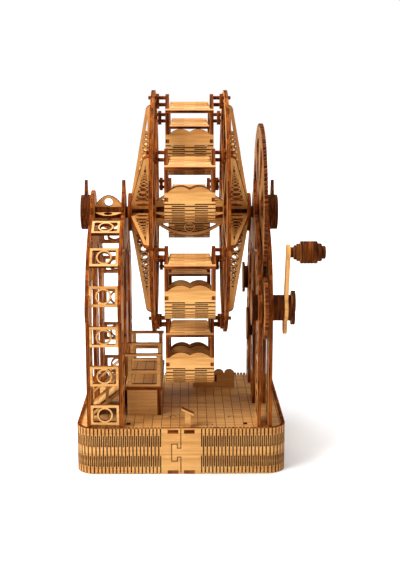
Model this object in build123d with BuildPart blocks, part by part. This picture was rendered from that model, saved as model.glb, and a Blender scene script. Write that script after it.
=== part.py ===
"""Tabletop ferris wheel of laser-cut plywood, turned by a hand crank.

Millimetres. The origin is the middle of the base's underside, +Z is up, the wheel's
axle runs along X, the crank is on the +X side and the front is -Y. Heights of the
wheel, the towers and the crank are given from the axle, and X places of what turns or
carries it from the wheel's middle plane.
"""

import os
from math import asin, cos, degrees, hypot, pi, radians, sin, tan

from build123d import *

os.makedirs("parts", exist_ok=True)

# Sheet, dowels and fits
PLY = 3.0
RUN = 0.08  # radial clearance of a shaft that turns in a hole
AXLE_SIDES = 16  # flats of the bored discs; the shafts in them are true rounds
PIN_SIDES = 12
SMALL_SIDES = 8
FIT = 0.1  # gap round a tab, a key or a board's edge
SIDE_GAP = 0.3  # gap beside a disc that turns

# Base box
BASE_W = 174.0
BASE_L = 170.0
BASE_H = 39.6
CORNER_R = 16.5
FLOOR_DROP = 1.4
SEAM_TAB_X = 6.75
SEAM_TAB_W = 8.5
SIDE_TAB_Y = 10.0
KEY_Z = 18.6
KEY_REACH = 7.6
KEY_HEAD = 4.2
KEY_HEAD_H = 14.4
KEY_NECK_H = 7.2
SLIT_W = 0.8
SLIT_PLAIN = 17.0
SLIT_PITCH = 25.0
CORNER_SLITS = 4
SLIT_EDGE_LEN = 15.6
SLIT_MID_LEN = 26.6
MORTISE = 3.3
MORTISE_Y = -76.0
MORTISE_X = (-51.0, 46.5)

# Wheel
WHEEL_X = 7.5
AXLE_RISE = 169.0
AXLE_R = 5.0
PIVOT_R = 100.0
SEATS = 8
PHASE = 10.4
RIM_X = 30.5
RIM_LIP = 4.6
RIM_W = 11.6
RIM_HUB_R = 20.0
RIM_SIDES = 56
SPOKE_W = 7.0
PIN_R = 1.5
PIN_TIP = 2.5
FIN_FOOT_R = 8.0
FIN_REACH = 18.0
FIN_TIP_REACH = 5.0
HUB_DISC_R = 16.5
BRACE_R = 21.0
BRACES = 4

# Drive gears
MODULE = 1.175
WHEEL_TEETH = 128
PINION_TEETH = 42
BACKLASH = 0.24
GEAR_WINDOWS = 8
GEAR_RIM_W = 12.2
GEAR_BOSS_R = 26.0
TIE_R = 3.0

# Towers
INNER_FRAME_X = 57.0
LEFT_FRAME_X = 83.5
LEG_W = 28.0
SPRING_DROP = 80.0
POST_HALF = 12.5
HEAD_R = 19.0
SPIRE_RISE = 28.0
SPIRE_HALF = 8.5
BOSS_R = 15.5
FOOT_TAB = 12.0
WALL_NOTCH = 4.0
EDGE_BAR = 4.0
STRUT_W = 2.6
LEG_BAYS = 3
ARCH_STEPS = 14
RUNG_H = 17.0
RUNG_FIRST = 12.0
RUNG_PITCH = 33.0
RUNGS = 6
RUNG_EYE_R = 4.0
BEARING_R = 15.0

# Crank
CRANK_TILT = 17.0
CRANK_AXLE_R = 3.0
ARM_X = 78.5
ARM_LEN = 50.5
ARM_TAIL = 17.5
ARM_HALF = 6.4
DRUM_R = 10.6
FLANGE_R = 14.4
FLANGE_T = 2.0
CAP_GAP = 2.8
KNOB_PIN_R = 2.0
KNOB_STEPS = ((2.5, 4.2), (2.2, 5.8), (3.0, 7.0), (13.6, 9.0), (3.4, 7.2), (3.2, 5.2))

# Boarding platform
DECK_RISE = 23.0
DECK_IN_X = -23.5
DECK_HALF = 54.0
RAIL_H = 30.0
RAIL_MID_Y = -14.0
BOX_INSET = 3.5
RAIL_GAPS = (0.9, 0.6)  # between a handrail and the tower's leg or post
RAMP_RUN = 30.4
HANDRAIL_H = 20.0
FENCE_X = (3.0, 42.0)
FENCE_Y = 41.0
FENCE_H = 17.0
FENCE_SCALLOPS = 4
SIGN_X = -2.0
SIGN_Y = -78.0

# Gondolas
CAR_HALF_W = 20.0
CAR_HALF_L = 17.0
TUB_TOP = 31.0
TUB_HUMP = 4.0
TUB_BEND = 38.0
TUB_FACETS = 6
TUB_SHOULDER = 2.6
ROOF_RISE = 5.0
ROOF_R = 26.6
ROOF_HALF = 19.0
ROOF_FACETS = 4
EAR_HALF = 5.0
EAR_TOP = 4.3
POST_TOP = -16.0
LINK_GAP = 0.7
LINK_HALF = 3.4
LINK_DROP = 5.7
PEG_R = 1.5

# Worked out from the values above
FLOOR_TOP = BASE_H - FLOOR_DROP
LEG_OUT = BASE_L / 2 - PLY
LEG_IN = LEG_OUT - LEG_W
RIGHT_FRAME_X = INNER_FRAME_X + 3 * PLY
GEAR_X = (INNER_FRAME_X + RIGHT_FRAME_X) / 2
RIM_OUT = PIVOT_R + RIM_LIP
RIM_IN = RIM_OUT - RIM_W
FIN_TIP_R = RIM_IN + 1.0
LINK_X = RIM_X - PLY - LINK_GAP
PIN_OUT = RIM_X + PLY / 2 + PIN_TIP
DECK_X = (FIT + PLY / 2 - INNER_FRAME_X, DECK_IN_X)
RAMP_Y = (RAIL_GAPS[0] + PLY + FIT - LEG_IN, -(POST_HALF + RAIL_GAPS[1] + PLY + FIT))
AXLE_Z = BASE_H + AXLE_RISE
FOOT_Z = FLOOR_TOP - AXLE_Z
FOOT_CENTRES = (-(LEG_OUT + LEG_IN) / 2, 0.0, (LEG_OUT + LEG_IN) / 2)
GEAR_CENTRES = MODULE * (WHEEL_TEETH + PINION_TEETH) / 2
GEAR_RIM_R = MODULE * WHEEL_TEETH / 2 - GEAR_RIM_W
BOSSES = [(GEAR_CENTRES * cos(radians(a)), GEAR_CENTRES * sin(radians(a))) for a in (225, 270, 315)]
CRANK_Y = BOSSES[0][0]
CRANK_Z = AXLE_Z + BOSSES[0][1]
PIVOT_ANGLES = [90 + PHASE + 360 / SEATS * k for k in range(SEATS)]
DECK_TOP = FLOOR_TOP + DECK_RISE


def keep(builder, name):
    """Label a finished piece and write its file."""
    builder.part.label = name
    export_step(builder.part, f"parts/{name}.step")


def across(x, y=0.0, z=AXLE_Z):
    """Plane of a board that stands square to the axle, x from the wheel's middle."""
    return Plane(origin=(WHEEL_X + x, y, z), x_dir=(0, 1, 0), z_dir=(1, 0, 0))


def facing(y, x=0.0, z=0.0):
    """Plane of a board that faces the front, x from the wheel's middle."""
    return Plane(origin=(WHEEL_X + x, y, z), x_dir=(1, 0, 0), z_dir=(0, -1, 0))


def radial(side, angle):
    """Plane through the axle: its x runs outwards along the axle, its y away from it."""
    a = radians(angle)
    along = (0, -sin(a) * side, cos(a) * side)
    return Plane(origin=(WHEEL_X, 0, AXLE_Z), x_dir=(side, 0, 0), z_dir=along)


def polar(r, angle, centre=(0.0, 0.0)):
    """Point at a radius and an angle in degrees round a centre."""
    return (centre[0] + r * cos(radians(angle)), centre[1] + r * sin(radians(angle)))


def disc(r, sides, mode=Mode.ADD):
    """Round piece drawn with flats, its corners at the radius."""
    RegularPolygon(r, sides, mode=mode)


def bore(r, sides):
    """Round hole drawn with flats, its flats at the radius."""
    RegularPolygon(r, sides, major_radius=False, mode=Mode.SUBTRACT)


def arc_points(r, start, end, steps, centre=(0.0, 0.0)):
    """Points along an arc, both ends included."""
    return [polar(r, start + (end - start) * k / steps, centre) for k in range(steps + 1)]


def gear_outline(teeth, phase):
    """Corners of a spur gear with straight flanks, one tooth centred at the phase angle."""
    pitch_r = MODULE * teeth / 2
    half = (pi * MODULE / 2 - BACKLASH) / 2
    slope = tan(radians(20))
    steps = (
        (pitch_r - 1.25 * MODULE, half + 1.25 * MODULE * slope),
        (pitch_r + MODULE, half - MODULE * slope),
    )
    points = []
    for k in range(teeth):
        mid = phase + 360 * k / teeth
        for r, w in (*steps, *reversed(steps)):
            before = len(points) % 4 < 2
            turn = degrees(w / r)
            points.append(polar(r, mid - turn if before else mid + turn))
    return points


def bar(a, b, width, mode=Mode.ADD):
    """Straight strut between two points of a sketch, run on a little at both ends."""
    length = hypot(b[0] - a[0], b[1] - a[1])
    u = ((b[0] - a[0]) / length, (b[1] - a[1]) / length)
    n = (-u[1] * width / 2, u[0] * width / 2)
    p = (a[0] - u[0], a[1] - u[1])
    q = (b[0] + u[0], b[1] + u[1])
    corners = [(p[0] + n[0], p[1] + n[1]), (q[0] + n[0], q[1] + n[1])]
    corners += [(q[0] - n[0], q[1] - n[1]), (p[0] - n[0], p[1] - n[1])]
    Polygon(*corners, align=None, mode=mode)


# ---------------------------------------------------------------- base box


def base_board(name, top, mortises):
    """Board inside the wall, with tabs that show through it and slots for the towers."""
    with BuildPart() as board:
        with BuildSketch(Plane.XY.offset(top - PLY)):
            RectangleRounded(BASE_W - 2 * PLY, BASE_L - 2 * PLY, CORNER_R - PLY)
            with Locations((SEAM_TAB_X, 0), (-SEAM_TAB_X, 0)):
                Rectangle(SEAM_TAB_W, BASE_L)
            with Locations((0, SIDE_TAB_Y), (0, -SIDE_TAB_Y)):
                Rectangle(BASE_W, SEAM_TAB_W)
            if mortises:
                for x in (-LEFT_FRAME_X, -INNER_FRAME_X, INNER_FRAME_X, RIGHT_FRAME_X):
                    for y in FOOT_CENTRES:
                        with Locations((WHEEL_X + x, y)):
                            Rectangle(PLY + 2 * FIT, FOOT_TAB + 2 * FIT, mode=Mode.SUBTRACT)
                for x in MORTISE_X:
                    with Locations((WHEEL_X + x, MORTISE_Y)):
                        Rectangle(MORTISE, MORTISE, mode=Mode.SUBTRACT)
        extrude(amount=PLY)
    keep(board, name)


def slit_places():
    """Middles and turns of the right wall's slit columns, in order from the front seam."""
    places = []
    cx = BASE_W / 2 - CORNER_R
    cy = BASE_L / 2 - CORNER_R
    along = int((cx - SLIT_PLAIN) / SLIT_PITCH) + 1
    aside = int((cy - SLIT_PLAIN) / SLIT_PITCH) + 1
    mid = PLY / 2
    for k in range(along):
        places.append((SLIT_PLAIN + k * SLIT_PITCH, mid - BASE_L / 2, 0))
    for k in range(CORNER_SLITS):
        turn = -90 + 90 * (k + 0.5) / CORNER_SLITS
        x, y = polar(CORNER_R - mid, turn, (cx, -cy))
        places.append((x, y, turn + 90))
    for k in range(aside):
        places.append((BASE_W / 2 - mid, k * SLIT_PITCH - SLIT_PLAIN - (aside - 1) * SLIT_PITCH, 90))
    return places + [(x, -y, -turn) for x, y, turn in reversed(places)]


def seam_key(grow):
    """T-shaped key of a wall's end, on the front's plane, grown by a gap all round."""
    neck = KEY_REACH - KEY_HEAD
    with Locations((-neck / 2 + 0.5, KEY_Z)):
        Rectangle(neck + 1.0, KEY_NECK_H + 2 * grow)
    with Locations((-neck - KEY_HEAD / 2, KEY_Z)):
        Rectangle(KEY_HEAD + 2 * grow, KEY_HEAD_H + 2 * grow)


def seam_planes():
    """Outer faces of the front and back walls, seen so that +X is to the right."""
    front = Plane(origin=(0, -BASE_L / 2, 0), x_dir=(1, 0, 0), z_dir=(0, -1, 0))
    back = Plane(origin=(0, BASE_L / 2 - PLY, 0), x_dir=(1, 0, 0), z_dir=(0, -1, 0))
    return front, back


def wall(name, side):
    """Half of the bent wall: slits let it bend, T keys lock its ends to the other half."""
    with BuildPart() as half:
        with BuildSketch():
            RectangleRounded(BASE_W, BASE_L, CORNER_R)
            RectangleRounded(BASE_W - 2 * PLY, BASE_L - 2 * PLY, CORNER_R - PLY, mode=Mode.SUBTRACT)
            with Locations((-side * (BASE_W / 4 + FIT / 4), 0)):
                Rectangle(BASE_W / 2 + FIT / 2, BASE_L + 2, mode=Mode.SUBTRACT)
        extrude(amount=BASE_H)
        places = slit_places()
        edge_z = (SLIT_EDGE_LEN / 2, BASE_H - SLIT_EDGE_LEN / 2)
        for k, (x, y, turn) in enumerate(places):
            slit_l = SLIT_MID_LEN if k % 2 else SLIT_EDGE_LEN
            spots = (BASE_H / 2,) if k % 2 else edge_z
            with Locations(*[Location((side * x, y, z), (0, 0, side * turn)) for z in spots]):
                Box(SLIT_W, 2 * PLY, slit_l, mode=Mode.SUBTRACT)
        heights = (PLY / 2, FLOOR_TOP - PLY / 2)
        ends = [(side * SEAM_TAB_X, y * (BASE_L - PLY) / 2, z) for y in (-1, 1) for z in heights]
        sides = [(side * (BASE_W - PLY) / 2, y * SIDE_TAB_Y, z) for y in (-1, 1) for z in heights]
        with Locations(*ends):
            Box(SEAM_TAB_W + 2 * FIT, PLY + 2, PLY + 2 * FIT, mode=Mode.SUBTRACT)
        with Locations(*sides):
            Box(PLY + 2, SEAM_TAB_W + 2 * FIT, PLY + 2 * FIT, mode=Mode.SUBTRACT)
        for plane in seam_planes():
            with BuildSketch(plane):
                seam_key(0.0 if side > 0 else FIT)
            extrude(amount=-PLY, mode=Mode.ADD if side > 0 else Mode.SUBTRACT)
    keep(half, name)


base_board("base_bottom", PLY, mortises=False)
base_board("base_floor", FLOOR_TOP, mortises=True)
wall("wall_right", 1)
wall("wall_left", -1)

# ---------------------------------------------------------------- towers


def lattice_bay(corners, crossed):
    """Window between four corners, crossed by one diagonal strut or by two."""
    Polygon(*corners, align=None, mode=Mode.SUBTRACT)
    bar(corners[0], corners[2], STRUT_W)
    if crossed:
        bar(corners[1], corners[3], STRUT_W)


def tower_lattice(crossed):
    """Windows of the legs, of the arch's shoulders and of the middle post."""
    spring = (0.0, -SPRING_DROP)
    inner = LEG_IN + EDGE_BAR
    outer = LEG_OUT - EDGE_BAR
    low = FOOT_Z + 2 * EDGE_BAR
    bay = (BOSSES[0][1] - BOSS_R - EDGE_BAR - low + EDGE_BAR) / LEG_BAYS
    for side in (-1, 1):
        for k in range(LEG_BAYS):
            z0 = low + k * bay
            z1 = z0 + bay - EDGE_BAR
            corners = [(inner, z0), (outer, z0), (outer, z1), (inner, z1)]
            lattice_bay([(side * y, z) for y, z in corners], crossed)
        for a0, a1 in ((23, 40), (44, 61)):
            corners = [polar(inner, a0, spring), polar(outer, a0, spring)]
            corners += [polar(outer, a1, spring), polar(inner, a1, spring)]
            lattice_bay([(side * y, z) for y, z in corners], crossed)
    half = POST_HALF - EDGE_BAR
    post_low = BOSSES[1][1] - BOSS_R - EDGE_BAR
    post_high = BOSSES[1][1] + BOSS_R + EDGE_BAR
    post_mid = (low + post_low) / 2
    post_top = -RIM_HUB_R - 3 * EDGE_BAR
    bays = ((low, post_mid - EDGE_BAR / 2), (post_mid + EDGE_BAR / 2, post_low), (post_high, post_top))
    for z0, z1 in bays:
        lattice_bay([(-half, z0), (half, z0), (half, z1), (-half, z1)], crossed)


def tower_frame(name, x, crossed, geared):
    """Arched side frame: two legs, a middle post, a pointed head and its bearing hole."""
    spring = (0.0, -SPRING_DROP)
    with BuildPart() as frame:
        with BuildSketch(across(x)):
            arch = arc_points(LEG_OUT, 0, 180, ARCH_STEPS, spring)
            gap = arc_points(LEG_IN, 0, 180, ARCH_STEPS, spring)
            Polygon((LEG_OUT, FOOT_Z), *arch, (-LEG_OUT, FOOT_Z), align=None)
            Polygon((LEG_IN, FOOT_Z - 1), *gap, (-LEG_IN, FOOT_Z - 1), align=None, mode=Mode.SUBTRACT)
            with Locations((0, FOOT_Z / 2)):
                Rectangle(2 * POST_HALF, -FOOT_Z)
            disc(HEAD_R, AXLE_SIDES)
            Polygon((-SPIRE_HALF, HEAD_R - 5), (SPIRE_HALF, HEAD_R - 5), (0, SPIRE_RISE), align=None)
            tower_lattice(crossed)
            with Locations(*BOSSES):
                disc(BOSS_R, PIN_SIDES)
            for y in FOOT_CENTRES:
                with Locations((y, FOOT_Z - PLY / 2)):
                    Rectangle(FOOT_TAB, PLY)
            with Locations((-LEG_OUT, FOOT_Z), (LEG_OUT, FOOT_Z)):
                Rectangle(2 * WALL_NOTCH, 2 * (FLOOR_DROP + FIT), mode=Mode.SUBTRACT)
            bore(AXLE_R + RUN, AXLE_SIDES)
            if geared:
                with Locations(BOSSES[0]):
                    bore(CRANK_AXLE_R + RUN, PIN_SIDES)
                with Locations(*BOSSES[1:]):
                    disc(TIE_R, PIN_SIDES, mode=Mode.SUBTRACT)
        extrude(amount=PLY / 2, both=True)
    keep(frame, name)


def rung_places():
    """Middle and outward angle of each rung panel, up one leg's outer edge."""
    r = LEG_OUT - PLY / 2
    straight = -SPRING_DROP - FOOT_Z
    places = []
    for k in range(RUNGS):
        s = RUNG_FIRST + k * RUNG_PITCH
        bend = max(0.0, degrees((s - straight) / r))
        y, z = polar(r, bend, (0.0, -SPRING_DROP))
        places.append((y, z if s > straight else FOOT_Z + s, bend))
    return places


tower_frame("left_inner_frame", -INNER_FRAME_X, crossed=False, geared=False)
tower_frame("left_outer_frame", -LEFT_FRAME_X, crossed=True, geared=False)
tower_frame("right_inner_frame", INNER_FRAME_X, crossed=False, geared=True)
tower_frame("right_outer_frame", RIGHT_FRAME_X, crossed=True, geared=True)

with BuildPart() as tower_rungs:
    span = LEFT_FRAME_X - INNER_FRAME_X - PLY
    middle_x = WHEEL_X - (LEFT_FRAME_X + INNER_FRAME_X) / 2
    for y, z, bend in rung_places():
        for side in (-1, 1):
            out = (0, side * cos(radians(bend)), sin(radians(bend)))
            with BuildSketch(Plane(origin=(middle_x, side * y, AXLE_Z + z), x_dir=(1, 0, 0), z_dir=out)):
                Rectangle(span, RUNG_H)
                disc(RUNG_EYE_R, SMALL_SIDES, mode=Mode.SUBTRACT)
            extrude(amount=PLY / 2, both=True)
keep(tower_rungs, "tower_rungs")


def bearing(name, face, side):
    """Washer, pointed plate and cap disc glued on an outer frame round the axle's end."""
    with BuildPart() as stack:
        for k in range(3):
            with BuildSketch(across(face + side * (k + 0.5) * PLY)):
                disc(BEARING_R, AXLE_SIDES)
                if k == 1:
                    Polygon((-7, 11), (7, 11), (0, SPIRE_RISE), align=None)
                bore(AXLE_R + RUN, AXLE_SIDES)
            extrude(amount=PLY / 2, both=True)
    keep(stack, name)


bearing("left_bearing", -LEFT_FRAME_X - PLY / 2, -1)
bearing("right_bearing", RIGHT_FRAME_X + PLY / 2, 1)

# ---------------------------------------------------------------- boarding platform

deck_mid = (DECK_X[0] + DECK_X[1]) / 2
deck_w = DECK_X[1] - DECK_X[0]

with BuildPart() as platform_deck:
    with BuildSketch(Plane.XY.offset(DECK_TOP - PLY)):
        with Locations((WHEEL_X + deck_mid, 0)):
            Rectangle(deck_w, 2 * DECK_HALF)
    extrude(amount=PLY)
keep(platform_deck, "platform_deck")

with BuildPart() as platform_box:
    box_h = DECK_RISE - PLY
    panel_w = deck_w - 3.0
    for y in (BOX_INSET - DECK_HALF, DECK_HALF - BOX_INSET):
        with BuildSketch(facing(y, deck_mid, FLOOR_TOP)):
            with Locations((0, box_h / 2)):
                Rectangle(panel_w, box_h)
            with Locations((0, box_h / 2)):
                disc(box_h / 2 - 4, SMALL_SIDES, mode=Mode.SUBTRACT)
        extrude(amount=PLY / 2, both=True)
    with BuildSketch(across(DECK_X[1] - 3.0, 0, FLOOR_TOP)):
        with Locations((0, box_h / 2)):
            Rectangle(2 * (DECK_HALF - BOX_INSET - PLY / 2 - FIT), box_h)
        with Locations((-32, box_h / 2), (0, box_h / 2), (32, box_h / 2)):
            disc(box_h / 2 - 4, SMALL_SIDES, mode=Mode.SUBTRACT)
    extrude(amount=PLY / 2, both=True)
keep(platform_box, "platform_box")

with BuildPart() as platform_railings:
    for y in (-DECK_HALF + PLY / 2, RAIL_MID_Y, DECK_HALF - PLY / 2):
        with BuildSketch(facing(y, deck_mid, DECK_TOP)):
            with Locations((0, RAIL_H / 2)):
                Rectangle(deck_w, RAIL_H)
            with Locations((0, RAIL_H / 2)):
                with GridLocations(5.4, 0, 5, 1):
                    Rectangle(3.6, RAIL_H - 7, mode=Mode.SUBTRACT)
        extrude(amount=PLY / 2, both=True)
keep(platform_railings, "platform_railings")


def ramp_z(x):
    """Height of the ramp's walking face at an x from the wheel's middle."""
    return FLOOR_TOP + DECK_RISE * (x - DECK_X[0] + RAMP_RUN) / RAMP_RUN


ramp_low = DECK_X[0] - RAMP_RUN
with BuildPart() as ramp:
    with BuildSketch(facing(RAMP_Y[1])):
        with BuildLine():
            slope = hypot(RAMP_RUN, DECK_RISE)
            foot = PLY * slope / DECK_RISE
            drop = PLY * slope / RAMP_RUN
            top = (DECK_X[0] - FIT, DECK_TOP - FIT)
            under = [(ramp_low + foot, FLOOR_TOP), (top[0], top[1] - drop)]
            Polyline(top, (ramp_low - FIT, FLOOR_TOP), *under, close=True)
        make_face()
    extrude(amount=RAMP_Y[1] - RAMP_Y[0])
keep(ramp, "ramp")

with BuildPart() as ramp_handrails:
    for y in (RAMP_Y[0] - PLY / 2 - FIT, RAMP_Y[1] + PLY / 2 + FIT):
        with BuildSketch(facing(y)):
            with BuildLine():
                high = (DECK_X[0] - FIT, DECK_TOP + HANDRAIL_H)
                low = (ramp_low - 2, ramp_z(ramp_low - 2) + HANDRAIL_H)
                feet = [(low[0], FLOOR_TOP), (ramp_low + 5, FLOOR_TOP)]
                Polyline(high, low, *feet, (high[0], DECK_TOP - PLY), close=True)
            make_face()
            for k in range(4):
                x0 = ramp_low + 1.6 + k * 7.2
                x1 = x0 + 4.6
                with BuildLine():
                    corners = [(x0, ramp_z(x0) + 3), (x1, ramp_z(x1) + 3)]
                    corners += [(x1, ramp_z(x1) + HANDRAIL_H - 3), (x0, ramp_z(x0) + HANDRAIL_H - 3)]
                    Polyline(*corners, close=True)
                make_face(mode=Mode.SUBTRACT)
        extrude(amount=PLY / 2, both=True)
keep(ramp_handrails, "ramp_handrails")

with BuildPart() as back_fence:
    fence_w = FENCE_X[1] - FENCE_X[0]
    scallop = fence_w / FENCE_SCALLOPS / 2
    with BuildSketch(facing(FENCE_Y, (FENCE_X[0] + FENCE_X[1]) / 2, FLOOR_TOP)):
        with Locations((0, (FENCE_H - scallop) / 2)):
            Rectangle(fence_w, FENCE_H - scallop)
        with Locations((0, FENCE_H - scallop)):
            with GridLocations(2 * scallop, 0, FENCE_SCALLOPS, 1):
                disc(scallop, PIN_SIDES)
        with Locations((2, (FENCE_H - scallop) / 2 + 2)):
            Rectangle(1.4, 6, mode=Mode.SUBTRACT)
    extrude(amount=PLY / 2, both=True)
keep(back_fence, "back_fence")

with BuildPart() as sign_post:
    with BuildSketch(facing(SIGN_Y, SIGN_X, FLOOR_TOP)):
        with BuildLine():
            Polyline((-2.6, 0), (2.6, 0), (2.6, 11.6), (-2.6, 14.0), close=True)
        make_face()
    extrude(amount=PLY / 2, both=True)
    with BuildSketch(facing(SIGN_Y, SIGN_X, FLOOR_TOP)):
        with BuildLine():
            Polyline((5.2, 10.4), (5.2, 12.4), (-5.2, 17.2), (-5.2, 15.2), close=True)
        make_face()
    extrude(amount=3.0, both=True)
keep(sign_post, "sign_post")

# ---------------------------------------------------------------- wheel

with BuildPart() as axle:
    end_left = -LEFT_FRAME_X - PLY / 2 - 3 * PLY + 0.4
    end_right = RIGHT_FRAME_X + PLY / 2 + 3 * PLY - 0.4
    with BuildSketch(across(end_left)):
        Circle(AXLE_R)
    extrude(amount=end_right - end_left)
keep(axle, "axle")


def rim(name, side):
    """Ring with a spoke to each pivot, a hub plate and the pivot holes."""
    with BuildPart() as ring:
        with BuildSketch(across(side * RIM_X)):
            disc(RIM_OUT, RIM_SIDES)
            disc(RIM_IN, RIM_SIDES, mode=Mode.SUBTRACT)
            disc(RIM_HUB_R, AXLE_SIDES)
            for angle in PIVOT_ANGLES:
                bar(polar(RIM_HUB_R - 3, angle), polar(RIM_IN + 1, angle), SPOKE_W)
            bore(AXLE_R, AXLE_SIDES)
            with Locations(*[polar(PIVOT_R, angle) for angle in PIVOT_ANGLES]):
                bore(PIN_R + RUN, SMALL_SIDES)
        extrude(amount=PLY / 2, both=True)
    keep(ring, name)


def fins(name, side):
    """Tapered gusset on the outside of each spoke, pierced by one long window."""
    face = RIM_X + PLY / 2
    with BuildPart() as group:
        for angle in PIVOT_ANGLES:
            with BuildSketch(radial(side, angle)):
                with BuildLine():
                    points = [(face, FIN_FOOT_R), (face + FIN_REACH, FIN_FOOT_R)]
                    points += [(face + FIN_REACH, FIN_FOOT_R + 10), (face + FIN_TIP_REACH, FIN_TIP_R - 4)]
                    points += [(face + FIN_TIP_REACH - 2.5, FIN_TIP_R), (face, FIN_TIP_R)]
                    Polyline(*points, close=True)
                make_face()
                with BuildLine():
                    wide = face + FIN_REACH - 4.5
                    far = FIN_TIP_R - 26
                    Polyline((face + 4, 22), (wide - 1, 22), (face + 5.4, far), (face + 4, far), close=True)
                make_face(mode=Mode.SUBTRACT)
            extrude(amount=PLY / 2, both=True)
    keep(group, name)


rim("rim_left", -1)
rim("rim_right", 1)
fins("fins_left", -1)
fins("fins_right", 1)

with BuildPart() as hub_discs:
    disc_face = RIM_X + PLY / 2 + FIN_REACH
    for side in (-1, 1):
        with BuildSketch(across(side * (disc_face + PLY / 2))):
            disc(HUB_DISC_R, AXLE_SIDES)
            bore(AXLE_R, AXLE_SIDES)
        extrude(amount=PLY / 2, both=True)
keep(hub_discs, "hub_discs")

with BuildPart() as hub_braces:
    reach = RIM_X - PLY / 2
    rise = BRACE_R - AXLE_R - 5
    bow_r = (reach**2 + rise**2) / (2 * rise)
    bow_half = degrees(asin(reach / bow_r))
    bow = arc_points(bow_r, 90 - bow_half, 90 + bow_half, 10, (0.0, BRACE_R - bow_r))
    for k in range(BRACES):
        with BuildSketch(radial(1, 90 + PHASE + k * 360 / BRACES)):
            Polygon((-reach, AXLE_R), (reach, AXLE_R), *bow, align=None)
            for side in (-1, 1):
                tip = ((side * 25.5, 9), (side * 17.5, 8.2), (side * 17.5, 12.6))
                Polygon(*tip, align=None, mode=Mode.SUBTRACT)
                window = ((side * 6, 9), (side * 15.6, 9), (side * 15.6, 14.6), (side * 6, 16.4))
                Polygon(*window, align=None, mode=Mode.SUBTRACT)
            with Locations((0, 13)):
                disc(3.3, SMALL_SIDES, mode=Mode.SUBTRACT)
        extrude(amount=PLY / 2, both=True)
keep(hub_braces, "hub_braces")

with BuildPart() as drive_gear:
    with BuildSketch(across(GEAR_X)):
        Polygon(*gear_outline(WHEEL_TEETH, 0), align=None)
        for k in range(GEAR_WINDOWS):
            mid = PHASE + (k + 0.5) * 360 / GEAR_WINDOWS
            corners = [polar(GEAR_BOSS_R, mid - 12), polar(GEAR_RIM_R, mid - 12)]
            corners += [polar(GEAR_RIM_R + 2, mid), polar(GEAR_RIM_R, mid + 12), polar(GEAR_BOSS_R, mid + 12)]
            Polygon(*corners, align=None, mode=Mode.SUBTRACT)
        bore(AXLE_R, AXLE_SIDES)
    extrude(amount=PLY / 2, both=True)
keep(drive_gear, "drive_gear")

# ---------------------------------------------------------------- gondolas

CAR_BOARD_X = CAR_HALF_W - PLY / 2
SHOULDER_Z = TUB_TOP - TUB_SHOULDER
tub_in = CAR_HALF_L - PLY
roof_centre = (0.0, -ROOF_RISE - ROOF_R)
roof_turn = degrees(asin(ROOF_HALF / ROOF_R))


def roof_line(r):
    """Facets of the roof at a radius, from its back edge to its front edge."""
    return arc_points(r, 90 + roof_turn, 90 - roof_turn, ROOF_FACETS, roof_centre)


def belly_line(r):
    """Facets of the tub's bottom at a radius, from its front to its back."""
    return arc_points(r, 180, 360, TUB_FACETS, (0.0, -TUB_BEND))


def car_side():
    """Outline of a side board: rounded belly, straight posts, roof edge and gabled ear."""
    under = roof_line(ROOF_R - PLY)
    half = ROOF_FACETS // 2
    slope = (under[half][1] - under[half + 1][1]) / (under[half + 1][0] - under[half][0])
    ear_foot = under[half][1] - slope * EAR_HALF
    edge_slope = (under[-2][1] - under[-1][1]) / (under[-1][0] - under[-2][0])
    edge_z = under[-2][1] - edge_slope * (tub_in - under[-2][0])
    right = [(tub_in, -SHOULDER_Z), (CAR_HALF_L, -SHOULDER_Z), (CAR_HALF_L, POST_TOP), (tub_in, edge_z)]
    right += list(reversed(under[half + 1 : -1]))
    right += [(EAR_HALF, ear_foot), (EAR_HALF - 0.5, 0), polar(EAR_TOP, 60)]
    left = [(-y, z) for y, z in reversed(right)]
    return belly_line(tub_in) + right + left


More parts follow.
